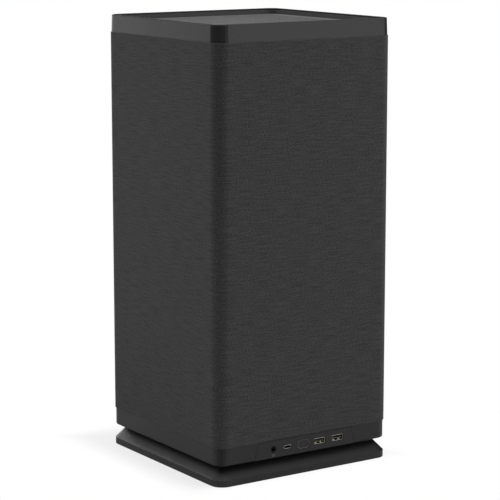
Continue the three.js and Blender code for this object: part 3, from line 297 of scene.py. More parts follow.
def vary(tree, value, low, high, shader, socket):
    """Spreads a noise value between two limits, colours or numbers, into a shader's socket."""
    if isinstance(low, str):
        mixed = add(tree, "ShaderNodeMix", {0: value, 6: linear(low), 7: linear(high)}, data_type="RGBA")
        tree.links.new(mixed.outputs[2], shader.inputs[socket])
        return
    mixed = add(tree, "ShaderNodeMapRange", {0: value, 1: NOISE_LOW, 2: NOISE_HIGH, 3: low, 4: high})
    tree.links.new(mixed.outputs[0], shader.inputs[socket])


def finish(name, colours, roughness, grain_mm, depth_mm, **sockets):
    """A finish whose colour and roughness each wander between two values over a fine grain."""
    material, tree, shader = new_material(name, **sockets)
    place = add(tree, "ShaderNodeTexCoord").outputs["Object"]
    fine = add(tree, "ShaderNodeTexNoise", {
        "Vector": place, "Scale": METRE / grain_mm, "Detail": 3.0, "Roughness": 0.6}).outputs[0]
    raise_surface(tree, shader, fine, depth_mm)
    cloudy = add(tree, "ShaderNodeTexNoise", {
        "Vector": place, "Scale": CLOUDS_PER_METRE, "Detail": 2.0}).outputs[0]
    blend = maths(tree, "MULTIPLY_ADD", fine, cloudy, CLOUD_SHIFT)
    vary(tree, blend, *colours, shader, "Base Color")
    vary(tree, cloudy, *roughness, shader, "Roughness")
    return material


print("a grain of 0.5 mm has", METRE / 0.5, "cells per metre")

# %% [markdown]
# The rim, the band and the plinth are injection-moulded ABS with a spark-eroded satin texture.
# Its pits are a few hundredths of a millimetre, so the grain is drawn at 0.35 mm and kept
# shallow: it takes the hard edge off the reflections, and it shows no pattern of its own.

# %% Plastics and rubber
satin_abs = finish("moulded_satin_abs", ("282828", "2f2f2f"), (0.22, 0.28), 0.35, 0.003, IOR=1.5)
# The band is the same plastic from a coarser mould, so it mirrors less of the studio.
band_abs = finish("moulded_matt_abs", ("171717", "1e1e1e"), (0.42, 0.48), 0.4, 0.006, IOR=1.45)
plinth_abs = finish(
    "moulded_plinth_abs", ("191919", "202020"), (0.44, 0.52), 0.4, 0.006, IOR=1.5, Specular_IOR_Level=0.5)
# Glass-filled nylon of fans, sleeve and shrouds: the fibres leave a matt, slightly cloudy skin.
matt_nylon = finish("moulded_glass_nylon", ("121213", "1c1c1e"), (0.55, 0.68), 0.5, 0.010, IOR=1.53)
# Foot pads of moulded rubber: matt and dusty.
foot_rubber = finish("moulded_foot_rubber", ("0e0e0e", "191919"), (0.8, 0.92), 0.6, 0.015, IOR=1.52)
# The sheath of the inner mains lead is extruded PVC, half matt.
pvc_sheath = finish("extruded_pvc_sheath", ("131313", "1b1b1b"), (0.42, 0.52), 0.8, 0.006, IOR=1.53)
print("plastics", satin_abs.name, plinth_abs.name, matt_nylon.name)

# %% [markdown]
# The chassis is folded sheet steel under a black powder coat, whose orange-peel grain is about
# 0.8 mm wide. Sockets, screws and brackets are nickel-plated steel, the fins are stamped
# aluminium as it comes from the mill, and the boards are glass fibre under a black solder mask.
# A metal keeps the shader's default IOR.

# %% Metals
chassis_coat = finish("powder_coated_steel", ("17181a", "202124"), (0.45, 0.58), 0.8, 0.03, IOR=1.5)
nickel_steel = finish("nickel_plated_steel", ("cecbc4", "dedbd4"), (0.18, 0.28), 1.2, 0.004, Metallic=1.0)
mill_aluminium = finish("mill_finish_aluminium", ("9fa2a6", "b8babd"), (0.30, 0.42), 0.9, 0.006, Metallic=1.0)
# The lid's grey is partly the coat's own tone and partly painted reflection: it is raised to give the
# brightness the white studio lends the sheet at a low angle.
panel_coat_and_reflection = finish("grey_panel_with_painted_reflection", ("454546", "4f4f50"), (0.50, 0.58), 0.5, 0.012, IOR=1.5)
ribbon_film = finish("ribbon_cable_film", ("1a1b1d", "232427"), (0.35, 0.45), 1.3, 0.01, IOR=1.5)
print("metals", nickel_steel.name, mill_aluminium.name)

# %% [markdown]
# A circuit board isn't one even black. Copper tracks run under the mask and catch the light as
# slightly paler lines, mostly along two directions. Bands of a noise that is stretched along one
# axis, read in steps, look like bundles of such tracks.

# %% Circuit boards
TRACKS_PER_METRE, ALONG_TRACKS, THROUGH_BOARD = 1400.0, 160.0, 200.0
TRACK_FROM, TRACK_TO = 0.54, 0.58


def stretched_noise(tree, place, cells, detail, dimensions="3D"):
    """A noise with its own number of cells per metre along each axis."""
    spread = add(tree, "ShaderNodeVectorMath", {0: place, 1: cells}, operation="MULTIPLY")
    return add(tree, "ShaderNodeTexNoise", {"Vector": spread.outputs[0], "Scale": 1.0, "Detail": detail},
               noise_dimensions=dimensions).outputs[0]


solder_mask, tree, shader = new_material("black_solder_mask", IOR=1.55, Roughness=0.4)
place = add(tree, "ShaderNodeTexCoord").outputs["Object"]
tracks = []
for cells in ((TRACKS_PER_METRE, ALONG_TRACKS), (ALONG_TRACKS, TRACKS_PER_METRE)):
    noise = stretched_noise(tree, place, (THROUGH_BOARD, *cells), 1.0)
    tracks.append(add(tree, "ShaderNodeMapRange", {0: noise, 1: TRACK_FROM, 2: TRACK_TO}).outputs[0])
either = maths(tree, "MAXIMUM", *tracks)
vary(tree, either, "0c0f12", "1c2327", shader, "Base Color")
raise_surface(tree, shader, either, 0.03, 0.6)
print("board", solder_mask.name)

# %% [markdown]
# Each solid gets one of these finishes. Its name tells which: the table below gives, for each
# finish, the words that such names start with, and the first row that fits counts.

# %% Finishes of the solids
NODE_FINISHES = (
    (plinth_abs, "base_plinth"),
    (foot_rubber, "foot_"),
    (band_abs, "bottom_band port_insert power_button"),
    (satin_abs, "top_rim"),
    (panel_coat_and_reflection, "top_panel"),
    (nickel_steel, "plinth_screw usb_ mainboard_ports port_shield card_bracket supply_guard"),
    (chassis_coat, "floor_plate upright_ port_deck spine_plate top_tray card_back_plate supply_case"),
    (solder_mask, "port_board mainboard memory_ card_board supply_core"),
    (mill_aluminium, "drive_spreader processor_cooler card_heatsink"),
    (matt_nylon, "headset_jack power_switch mains_inlet card_shroud sleeve_"),
    (matt_nylon, "cooler_fan card_fan supply_fan top_fan"),
    (ribbon_film, "riser_ribbon"),
    (pvc_sheath, "mains_lead"),
)


def dress(node_name, material):
    """Gives a CAD node's object one material."""
    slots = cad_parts[node_name].data.materials
    slots.clear()
    slots.append(material)


dressed = 0
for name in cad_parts:
    fitting = [material for material, starts in NODE_FINISHES if name.startswith(tuple(starts.split()))]
    if fitting:
        dress(name, fitting[0])
        dressed += 1
print("dressed", dressed, "of", len(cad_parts))

# %% [markdown]
# The new pieces are closed shells made from arrays. Most of them are a stack: one outline, such
# as a rounded rectangle, is repeated at several levels, each time set in by some amount, and the
# rings are joined by quads. That one idea makes a rounded button, a socket's shell, a chip or a
# bezel. Three small functions do it: the outline, the rings, and the mesh with its faces turned
# outwards.

# %% Shells from rings
def rounded_rectangle(width, height, radius, inset=0.0, steps=4):
    """Points round a rectangle, each corner a quarter circle: centre of the corner plus
    radius times (cos, sin) of the turn. The inset moves every side in and shrinks the radius."""
    w, h = width / 2 - inset, height / 2 - inset
    r = max(min(radius - inset, w, h), 1e-5)
    turn = (np.arange(4)[:, None] + np.arange(steps + 1) / steps) * (math.pi / 2)
    sign_x = np.array([1, -1, -1, 1])[:, None]
    sign_y = np.array([1, 1, -1, -1])[:, None]
    x = sign_x * (w - r) + r * np.cos(turn)
    y = sign_y * (h - r) + r * np.sin(turn)
    return np.stack([x.ravel(), y.ravel()], 1)


def ring_faces(rows, columns, closed):
    """Quads between neighbouring rings, and a cap at each end unless the rings close up."""
    count = rows if closed else rows - 1
    r, c = np.meshgrid(np.arange(count), np.arange(columns), indexing="ij")
    here, there = r * columns, ((r + 1) % rows) * columns
    following = (c + 1) % columns
    quads = np.stack([here + c, here + following, there + following, there + c], -1)
    faces = quads.reshape(-1, 4).tolist()
    if not closed:
        faces += [list(range(columns))[::-1], list(range((rows - 1) * columns, rows * columns))]
    return faces


def outward(points, faces):
    """Turns all faces of a closed shell over where its signed volume, the sum of
    a . (b x c) / 6 over the triangles of each face's fan, is negative."""
    volume = 0.0
    for size in {len(f) for f in faces}:
        same = points[np.array([f for f in faces if len(f) == size])]
        for k in range(1, size - 1):
            volume += (same[:, 0] * np.cross(same[:, k], same[:, k + 1])).sum() / 6
    return faces if volume > 0 else [f[::-1] for f in faces]


def stack(outline, profile, closed=False):
    """Rings of an outline at (inset, level) in millimetres: outline(inset) gives [a, b]."""
    rings = [np.column_stack([outline(inset), np.full(len(outline(0.0)), level)])
             for inset, level in profile]
    points = np.concatenate(rings)
    return points, ring_faces(len(rings), len(rings[0]), closed)


def together(*shells):
    """Several shells as one array of points and one list of faces."""
    points, faces, start = [], [], 0
    for shell_points, shell_faces in shells:
        shell_faces = outward(np.asarray(shell_points, float), shell_faces)
        faces += [[i + start for i in f] for f in shell_faces]
        points.append(shell_points)
        start += len(shell_points)
    return np.concatenate(points), faces


TO_FRONT = np.array([[1, 0, 0], [0, 0, 1], [0, 1, 0]])


def piece(name, shells, material, body, replaces=(), turn=None, smooth=False):
    """A finished piece from shells in millimetres. turn is a 3 x 3 array for their axes."""
    points, faces = together(*shells)
    if turn is not None:
        points = points @ np.asarray(turn, float)
        faces = faces if np.linalg.det(turn) > 0 else [f[::-1] for f in faces]
    made = mesh_object(name, points * MM, faces, smooth)
    made.data.materials.append(material)
    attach(made, body)
    if replaces:
        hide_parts(*replaces)
    print(name, len(made.data.vertices), "points", len(faces), "faces")
    return made


def node_box(name):
    """A CAD node's lowest and highest corner in millimetres."""
    low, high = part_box(name)
    return np.array(low) / MM, np.array(high) / MM


# %% [markdown]
# The cover is one strip of charcoal polyester, woven with uneven yarn, wrapped round the sleeve
# and closed in the middle of the back with a stitched seam. Its surface is a grid: one parameter
# goes round the rounded square, the other goes up the outside and down the inside over two
# rolled hems. The UV map holds the distance round and up in metres, so the weave follows the
# cloth. It is stretched tight over a stiff sleeve, so there is nothing to simulate.

# %% Cloth cover: the line round the tower
low, high = node_box("cloth_wrap")
HALF, CORNER, CLOTH, HEM = high[0], 13.0, 1.1, 0.45
SEAM_DEPTH, SEAM_WIDTH = 0.35, 0.5
ROW_AWAY, ROW_DEPTH, ROW_WIDTH = 2.2, 0.3, 0.45


def cover_round(side_steps=24, corner_steps=12):
    """Columns round a square from the middle of the back: straight runs and quarter circles.
    Gives each column's point on the corner circles' centre line, and its outward direction."""
    flat = HALF - CORNER
    runs = np.linspace(-flat, flat, side_steps + 1)
    near_seam = np.outer([-1, 1], [0.5, 1.1, 1.7, ROW_AWAY, 2.7, 3.3, 4.5]).ravel()
    core, out = [], []
    for side in range(4):
        facing = math.pi / 2 * (side + 1)
        ahead = np.array([-math.sin(facing), math.cos(facing)])
        outwards = np.array([math.cos(facing), math.sin(facing)])
        places = np.unique(np.concatenate([runs, near_seam])) if side == 0 else runs
        turn = facing + math.pi / 2 * np.arange(1, corner_steps) / corner_steps
        corner = np.repeat([(ahead + outwards) * flat], len(turn), 0)
        core += [places[:, None] * ahead + outwards * flat, corner]
        out += [np.repeat([outwards], len(places), 0), np.column_stack([np.cos(turn), np.sin(turn)])]
    core, out = np.concatenate(core), np.concatenate(out)
    seam = np.argmin(np.abs(core[:, 0]) + 1e3 * (core[:, 1] < 0))
    return np.roll(core, -seam, 0), np.roll(out, -seam, 0)


core, out = cover_round()
outline = core + out * CORNER
step = np.linalg.norm(np.roll(outline, -1, 0) - outline, axis=1)
round_travel = np.concatenate([[0.0], np.cumsum(step)])
print("columns", len(core), "girth", round(round_travel[-1], 1), "mm")

# %% [markdown]
# Cloth could be a thin sheet with a Solidify modifier, but its edges would then be square cuts.
# Here one closed profile holds both faces and the two rolled hems, and it is carried round the
# line above. The stitched seam pulls the cloth in: a groove at the joint and a shallower furrow
# under each row of stitches, each of the form depth times exp(-(distance / width) ** 2).

# %% Cloth cover: the surface
roll = np.linspace(0, math.pi / 2, 4)
foot = np.column_stack([HEM * (1 - np.sin(roll)), low[2] + HEM * (1 - np.cos(roll))])
head = np.column_stack([HEM * (1 - np.cos(roll)), high[2] - HEM * (1 - np.sin(roll))])
levels = np.linspace(low[2] + 4, high[2] - 4, 40)
profile = np.concatenate([
    [[CLOTH, low[2]]], foot, np.column_stack([np.zeros(40), levels]), head, [[CLOTH, high[2]]]])
rows, columns = len(profile), len(core)
from_seam = np.where(out[:, 1] > 0.999, np.abs(core[:, 0]), 1e3)
groove = SEAM_DEPTH * np.exp(-(from_seam / SEAM_WIDTH) ** 2)
groove += ROW_DEPTH * np.exp(-((from_seam - ROW_AWAY) / ROW_WIDTH) ** 2)
outside = profile[:, :1] < HEM / 2
points = np.zeros((rows, columns, 3))
reach = CORNER - profile[:, :1] - groove * outside
points[..., :2] = core + out * reach[..., None]
points[..., 2] = profile[:, 1:]
up_travel = np.concatenate([[0.0], np.cumsum(np.linalg.norm(np.diff(profile, axis=0), axis=1))])
up_travel = np.append(up_travel, up_travel[-1] + high[2] - low[2])


def grid_uv(along, up):
    """UVs in metres for the quads of ring_faces: along has one more entry than there are
    columns, and up one more than there are rows."""
    u0, v0 = np.meshgrid(along[:-1], up[:-1])
    u1, v1 = np.meshgrid(along[1:], up[1:])
    corners = [np.stack(pair, -1) for pair in ((u0, v0), (u1, v0), (u1, v1), (u0, v1))]
    return np.stack(corners, 2).reshape(-1, 2) * MM


def set_uv(made, uv):
    """Puts UVs, one for each face corner in order, into a mesh."""
    made.data.uv_layers.new(name="surface").data.foreach_set("uv", uv.astype(np.float32).ravel())


# %% [markdown]
# The yarn is a melange: grey and black fibres spun together, thick in some places and thin in
# others. From two metres the weave itself is gone, and what is left are short level streaks a
# millimetre high, slightly paler or darker than their neighbours. A noise that is stretched
# along the cloth gives the streaks, a finer one the ticks of the warp, and a small bump the
# ribs of the weft. On such a cloth they are about 0.5 mm apart; here they are drawn at 1 mm. Loose
# fibres catch light at a low angle, which the shader's sheen does.

# %% Woven polyester
woven, tree, shader = new_material(
    "woven_melange_polyester", IOR=1.5, Roughness=0.85, Specular_IOR_Level=0.25,
    Sheen_Weight=0.12, Sheen_Roughness=0.5)
shader.inputs["Sheen Tint"].default_value = linear("8c8c90")
on_cloth = add(tree, "ShaderNodeUVMap", uv_map="surface").outputs[0]


weft = stretched_noise(tree, on_cloth, (METRE / 20.0, METRE / 1.0, 1.0), 0.0, "2D")
warp = stretched_noise(tree, on_cloth, (METRE / 2.0, METRE / 0.9, 1.0), 0.0, "2D")
mixed = maths(tree, "MULTIPLY_ADD", warp, 1.5, weft)
level = add(tree, "ShaderNodeMapRange", {0: mixed, 1: 0.85, 2: 1.65}).outputs[0]
vary(tree, level, "363636", "474747", shader, "Base Color")
RIB_PITCH, RIB_SHARE = 1.0, 0.25
rib_turns = (0.0, 2 * math.pi * METRE / RIB_PITCH, 0.0)
rib_place = add(tree, "ShaderNodeVectorMath", {0: on_cloth, 1: rib_turns}, operation="MULTIPLY")
rib_split = add(tree, "ShaderNodeSeparateXYZ", {0: rib_place.outputs[0]})
ribs = maths(tree, "SINE", rib_split.outputs[1])
raise_surface(tree, shader, maths(tree, "MULTIPLY_ADD", ribs, RIB_SHARE, mixed), 0.08, 0.6)

cover = piece("woven_cover", [(points.reshape(-1, 3), ring_faces(rows, columns, True))], woven,
              "sleeve", ["cloth_wrap"])
set_uv(cover, grid_uv(round_travel, up_travel))

# %% [markdown]
# The chimney's lid is a steel sheet with a field of small round holes, powder-coated grey; that
# grey is partly the coat and partly painted reflection of the white studio seen at a low angle.
# A picture of holes would do from far away, but the fan shows through from above, so they are
# real. One square cell with an eight-sided hole is worked out once, and index arrays repeat it
# over the field; the rim of the field is then joined to the rounded outline of the sheet.

# %% Perforated lid: the field
low, high = node_box("top_panel")
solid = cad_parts["top_panel"].data
flat_points = np.zeros(len(solid.vertices) * 3)
solid.vertices.foreach_get("co", flat_points)
reach = (flat_points.reshape(-1, 3)[:, :2] / MM).sum(1).max()
LID_HALF, LID_EDGE = high[0], 0.4
LID_CORNER = (2 * LID_HALF - reach) / (2 - math.sqrt(2))
CELL, HOLE_RADIUS, CELLS = 3.6, 1.3, 48
FIELD_HALF = CELL * CELLS / 2
SIDE = 2 * CELLS + 1


def field_points(level):
    """A lattice half a cell apart, then eight points round each hole: the hole's centre plus
    the radius times (cos, sin) of eighths of a turn, starting towards the cell's low corner."""
    line = np.linspace(-FIELD_HALF, FIELD_HALF, SIDE)
    lattice = np.stack(np.meshgrid(line, line, indexing="ij"), -1).reshape(-1, 2)
    centre = np.stack(np.meshgrid(line[1::2], line[1::2], indexing="ij"), -1).reshape(-1, 1, 2)
    turn = math.radians(-135) + np.arange(8) * math.pi / 4
    holes = centre + HOLE_RADIUS * np.column_stack([np.cos(turn), np.sin(turn)])
    flat = np.concatenate([lattice, holes.reshape(-1, 2)])
    return np.column_stack([flat, np.full(len(flat), level)])


i, j = (2 * k.reshape(-1, 1) for k in np.meshgrid(np.arange(CELLS), np.arange(CELLS), indexing="ij"))
edge = (i + [0, 1, 2, 2, 2, 1, 0, 0]) * SIDE + j + [0, 0, 0, 1, 2, 2, 2, 1]
hole = SIDE * SIDE + np.arange(CELLS * CELLS)[:, None] * 8 + np.arange(8)
next_edge, next_hole = np.roll(edge, -1, 1), np.roll(hole, -1, 1)
face = np.stack([edge, next_edge, next_hole, hole], -1).reshape(-1, 4)
above = field_points(high[2])
below = len(above)
wall = np.stack([hole, next_hole, next_hole + below, hole + below], -1).reshape(-1, 4)
print("holes", CELLS * CELLS, "corner radius", round(LID_CORNER, 2))

# %% [markdown]
# A sheet with holes could be cut with a Boolean modifier, which would be slow with two thousand
# holes and leave long thin triangles. Since the edge of the field and the outline have the same
# number of points, plain quads can join them, and so the sheet is closed all round. A second
# piece is the sheet's edge, folded up along the rim, as pressed panels have it to stay flat.

# %% Perforated lid: the frame and the mesh
walk = np.arange(SIDE - 1)
rim_of_field = np.concatenate([
    walk * SIDE, (SIDE - 1) * SIDE + walk, (SIDE - 1 - walk) * SIDE + SIDE - 1, SIDE - 1 - walk])


def on_outline(flat, inset):
    """Points of the field's edge moved out to the rounded square: scaled up, then pulled onto
    the corner circle where both coordinates lie beyond its centre."""
    half, radius = LID_HALF - inset, LID_CORNER - inset
    moved = flat * half / FIELD_HALF
    centre = np.sign(moved) * (half - radius)
    over = moved - centre
    length = np.linalg.norm(over, axis=1, keepdims=True)
    in_corner = (np.abs(moved) > half - radius).all(1, keepdims=True)
    return np.where(in_corner, centre + over / length * radius, moved)


flat_rim = above[rim_of_field, :2]
rings = [np.column_stack([on_outline(flat_rim, inset), np.full(len(flat_rim), level)]) for inset, level in (
    (LID_EDGE, high[2]), (0.0, high[2] - LID_EDGE), (0.0, low[2]))]
points = np.concatenate([above, field_points(low[2]), *rings])
around = len(rim_of_field)
outer_loops = [2 * below + around * k + np.arange(around) for k in range(len(rings))]
loops = [rim_of_field, *outer_loops, rim_of_field + below]
frame_faces = [np.stack([a, np.roll(a, -1), np.roll(b, -1), b], -1)[:, ::-1]
               for a, b in zip(loops, loops[1:])]
faces = np.concatenate([face, face[:, ::-1] + below, wall, *frame_faces])
used, faces = np.unique(faces, return_inverse=True)
faces = faces.reshape(-1, 4).tolist()
piece("vent_panel", [(points[used], faces)], panel_coat_and_reflection, "top_cover", ["top_panel"])
FOLD_HEIGHT, FOLD_WALL, FOLD_EDGE = 3.9, 0.5, 0.1
side = 2 * LID_HALF
top = high[2] + FOLD_HEIGHT
fold = stack(lambda inset: rounded_rectangle(side, side, LID_CORNER, inset, 8), [
    (0, high[2]), (0, top - FOLD_EDGE), (FOLD_EDGE, top), (FOLD_WALL - FOLD_EDGE, top),
    (FOLD_WALL, top - FOLD_EDGE), (FOLD_WALL, high[2])], closed=True)
piece("vent_panel_fold", [fold], panel_coat_and_reflection, "top_cover")

# %% [markdown]
# The port strip is where the eye goes, since nothing else on the tower is small. Each socket is
# built from the same rings: a drawn steel shell with a rolled lip, a plastic tongue with gold
# contacts on it, and springs that reach in from the shell. The rings are worked out lying flat,
# with the level as the third number, and then turned so that the level runs into the tower.

# %% Finishes of the sockets
# Tongues and the jack are glass-filled nylon, black and half matt. Their tone is set far darker than the
# other nylon: partly their own black, partly painted shade for the insides of the sockets.
socket_nylon_and_shade = finish(
    "moulded_nylon_with_painted_shade", ("030303", "070707"), (0.5, 0.6), 0.3, 0.004, IOR=1.53, Specular_IOR_Level=0.25)
# The contacts are gold-plated bronze; a fine rolling grain keeps them from being mirrors.
contact_gold = finish("gold_plated_contact", ("ddd0a6", "e8debc"), (0.20, 0.30), 0.5, 0.002, Metallic=1.0)
# Signs are pad-printed in grey ink, a few hundredths of a millimetre thick.
printed_ink = finish("pad_printed_ink", ("989898", "a4a4a4"), (0.55, 0.65), 0.3, 0.004, IOR=1.5)
# The sign on the button is only a tone lighter than the plastic. The paler line round it is not ink but a
# painted highlight, for the thin line of light on the cap's rolled edge.
faint_ink = finish("pad_printed_dark_ink", ("343434", "3c3c3c"), (0.5, 0.6), 0.3, 0.004, IOR=1.5)
painted_edge_highlight = finish("painted_edge_highlight_finish", ("646464", "6e6e6e"), (0.5, 0.6), 0.3, 0.004, IOR=1.5)
FACE = -102.1
SET_BACK = 0.6
PORT_LEVEL = 30.0


def at(width, height, radius, centre, steps=4):
    """An outline for stack(): a rounded rectangle round a centre, as a function of the inset."""
    return lambda inset: rounded_rectangle(width, height, radius, inset, steps) + np.array(centre)


def plate(width, height, radius, centre, front, back, edge=0.05):
    """A flat bar with small bevels at both ends, from one level to another."""
    profile = [(edge, front), (0, front + edge), (0, back - edge), (edge, back)]
    return stack(at(width, height, radius, centre, 2), profile)


def shell(width, height, radius, centre, wall, front, back, lip=0.1):
    """A drawn tube with a rounded lip at the front: out over the lip, back along the outside,
    and forward again along the inside."""
    return stack(at(width, height, radius, centre), [
        (wall / 2, front), (lip * 0.3, front + lip * 0.3), (0, front + lip), (0, back),
        (wall, back), (wall, front + lip), (wall - lip * 0.3, front + lip * 0.3)], closed=True)


print("ports at level", PORT_LEVEL)

# %% [markdown]
# A USB-A socket is a folded steel tube with four springs pressed out of it, a tongue in the upper
# half and four gold contacts under the tongue. A USB-C socket is a drawn oval tube round a thin
# tongue that has contacts on both sides, and its foot stands on the board. A black box with a
# picture of a socket would look flat from the side, so each part has its real depth. The shells
# sit a little behind the strip, so that a thin shadow line runs round them.

# %% Sockets
USB_A = {"usb_a_left": 17.5, "usb_a_right": 39.4}
A_WIDTH, A_HEIGHT, A_WALL, A_DEPTH = 13.1, 5.7, 0.32, 14.0
BLOCK_DEPTH = 4.0
SPRING_WIDTH, SPRING_LENGTH, SPRING_AWAY = 1.5, 1.8, 3.0
for name, x in USB_A.items():
    centre = (x, PORT_LEVEL)
    springs = []
    for side, up in ((-1, 1), (1, 1), (-1, -1), (1, -1)):
        for depth, reach in ((1.2, 0.25), (3.0, 0.75)):
            at_wall = PORT_LEVEL + up * (A_HEIGHT / 2 - A_WALL - reach / 2)
            spot = (x + side * SPRING_AWAY, at_wall)
            springs.append(plate(SPRING_WIDTH, reach, 0.1, spot, FACE + depth, FACE + depth + SPRING_LENGTH))
    tube = shell(A_WIDTH, A_HEIGHT, 0.6, centre, A_WALL, FACE + SET_BACK, FACE + A_DEPTH)
    piece(f"{name}_shell", [tube, *springs], nickel_steel, "chassis",
          [f"{name}_socket"], TO_FRONT)
    inner = FACE + A_DEPTH - BLOCK_DEPTH
    block = plate(A_WIDTH - 2 * A_WALL, A_HEIGHT - 2 * A_WALL, 0.3, centre, inner, FACE + A_DEPTH)
    tongue = plate(11.1, 1.8, 0.2, (x, PORT_LEVEL + 0.9), FACE + 1.2, inner, 0.25)
    # The tongue and its block take the near-black nylon, which is partly painted shade inside the socket.
    piece(f"{name}_tongue", [tongue, block], socket_nylon_and_shade, "chassis", turn=TO_FRONT)
    contacts = [plate(0.9, 0.6, 0.1, (x + k, PORT_LEVEL - 0.25), FACE + 0.9, inner, 0.1)
                for k in (-3.75, -1.25, 1.25, 3.75)]
    piece(f"{name}_contacts", contacts, contact_gold, "chassis", turn=TO_FRONT)

C_X, C_WIDTH, C_HEIGHT, C_WALL, C_DEPTH = -21.2, 8.94, 3.26, 0.3, 10.0
C_CENTRE = (C_X, PORT_LEVEL)
c_inner = FACE + C_DEPTH - BLOCK_DEPTH
c_low = node_box("usb_c_socket")[0][2]
c_foot_top = PORT_LEVEL - C_HEIGHT / 2 + C_WALL / 2
c_foot = plate(5.0, c_foot_top - c_low, 0.2, (C_X, (c_foot_top + c_low) / 2), FACE + 2.4, FACE + C_DEPTH)
piece("usb_c_shell", [
    shell(C_WIDTH, C_HEIGHT, C_HEIGHT / 2, C_CENTRE, C_WALL, FACE + SET_BACK / 2, FACE + C_DEPTH), c_foot],
    nickel_steel, "chassis", ["usb_c_socket"], TO_FRONT)
piece("usb_c_tongue", [
    plate(6.7, 0.7, 0.25, C_CENTRE, FACE + 2.4, c_inner, 0.15),
    plate(C_WIDTH - 2 * C_WALL, C_HEIGHT - 2 * C_WALL, 1.3, C_CENTRE, c_inner, FACE + C_DEPTH)],
    socket_nylon_and_shade, "chassis", turn=TO_FRONT)
spots = [(C_X + (k - 5.5) * 0.5, PORT_LEVEL + up * 0.37) for k in range(12) for up in (-1, 1)]
contacts = [plate(0.26, 0.06, 0.02, spot, FACE + 3.4, c_inner, 0.01) for spot in spots]
piece("usb_c_contacts", contacts, contact_gold, "chassis", turn=TO_FRONT)

# %% [markdown]
# The headset jack is a round bezel, let into the strip, with a rolled edge and a smooth bore in
# which two contact springs show. Its section is one closed line of (radius, level) pairs that is
# carried round a circle, which the same stack of rings does with a circle as its outline.

# %% Headset jack
JACK_X, JACK_RADIUS, BORE_RADIUS = -38.1, 3.15, 1.8
BARREL_BACK, BORE_BACK = FACE + 3.3, FACE + 12.0
low, high = node_box("headset_jack")
print("jack box", low.round(2), high.round(2))


def circle(radius, centre, steps=48):
    """An outline for stack(): a circle whose radius shrinks with the inset."""
    turn = np.arange(steps) * 2 * math.pi / steps
    return lambda inset: (radius - inset) * np.column_stack([np.cos(turn), np.sin(turn)]) + np.array(centre)


lips = JACK_RADIUS - BORE_RADIUS
JACK_CENTRE = (JACK_X, PORT_LEVEL)
bezel = stack(circle(JACK_RADIUS, JACK_CENTRE), [
    (0.25, FACE + 0.15), (0.07, FACE + 0.2), (0, FACE + 0.35), (0, BARREL_BACK), (lips, BARREL_BACK),
    (lips, FACE + 0.9), (lips - 0.35, FACE + 0.45), (lips - 0.6, FACE + 0.32), (0.45, FACE + 0.25)],
    closed=True)
bore = circle(BORE_RADIUS, JACK_CENTRE)(0.0)
block = rounded_rectangle(high[0] - low[0], high[2] - low[2], 0.4, 0.0, 11) + JACK_CENTRE
rings = [(bore, BORE_BACK), (bore, BARREL_BACK), (block, BARREL_BACK), (block, high[1])]
points = np.concatenate([np.column_stack([line, np.full(len(line), level)]) for line, level in rings])
body = (points, ring_faces(len(rings), len(bore), False))
piece("jack_bezel", [bezel, body], socket_nylon_and_shade, "chassis", ["headset_jack"], TO_FRONT)
springs = [plate(0.5, 0.8, 0.1, (JACK_X + side * (BORE_RADIUS - 0.2), PORT_LEVEL), FACE + 3, FACE + 6)
           for side in (-1, 1)]
piece("jack_springs", springs, nickel_steel, "chassis", turn=TO_FRONT)

# %% [markdown]
# The button is a stadium, flush with the strip, with a rolled edge that catches a thin line of
# light; that line is also painted on, as a paler ring just inside the edge, a painted highlight.
# The usual power sign, a ring that is open at the top with a bar in the gap, is printed on it
# faintly, and the usual headset sign below the jack. A sign is a ribbon: a line of points is
# widened to both sides and given a thickness of a few hundredths of a millimetre.

# %% Power button and signs
low, high = node_box("power_button")
EAR, CAP_DEPTH = 1.8, 4.0
B_WIDTH, B_HEIGHT = high[0] - low[0] - 2 * EAR, high[2] - low[2]
B_CENTRE = ((low[0] + high[0]) / 2, (low[2] + high[2]) / 2)
print("button", round(B_WIDTH, 2), "x", round(B_HEIGHT, 2), "depth", round(high[1] - low[1], 2))
cap = stack(at(B_WIDTH, B_HEIGHT, B_HEIGHT / 2, B_CENTRE, 12), [
    (1.6, low[1] + 0.22), (1.2, low[1] + 0.16), (0.8, low[1] + 0.04), (0.5, low[1]), (0.25, low[1] + 0.03),
    (0.08, low[1] + 0.12), (0, low[1] + 0.3), (0, low[1] + CAP_DEPTH)])
ears = plate(B_WIDTH + 2 * EAR, 5.0, 0.4, B_CENTRE, low[1] + 2.4, low[1] + 3.6, 0.1)
plunger = stack(circle(1.8, B_CENTRE, 24), [
    (0, low[1] + CAP_DEPTH - 0.3), (0, high[1] - 0.3), (0.3, high[1])])
piece("power_cap", [cap, ears, plunger], band_abs, "button", ["power_button"], TO_FRONT)


def ribbon(line, width, front, thick=0.03):
    """A flat closed bar along a line: each point is moved half the width along the line's
    normal to both sides, at the front level and one thickness behind it."""
    line = np.asarray(line, float)
    ahead = np.gradient(line, axis=0)
    normal = np.column_stack([-ahead[:, 1], ahead[:, 0]]) / np.linalg.norm(ahead, axis=1, keepdims=True)
    left, right = line + normal * width / 2, line - normal * width / 2
    levels = ((left, front), (right, front), (right, front + thick), (left, front + thick))
    section = np.stack([np.column_stack([side, np.full(len(side), level)]) for side, level in levels], 1)
    return section.reshape(-1, 3), ring_faces(len(line), 4, False)


def arc(radius, centre, start, end, steps=24):
    """Points on a circle from one angle to another, in degrees from the right."""
    turn = np.radians(np.linspace(start, end, steps))
    return radius * np.column_stack([np.cos(turn), np.sin(turn)]) + np.array(centre)


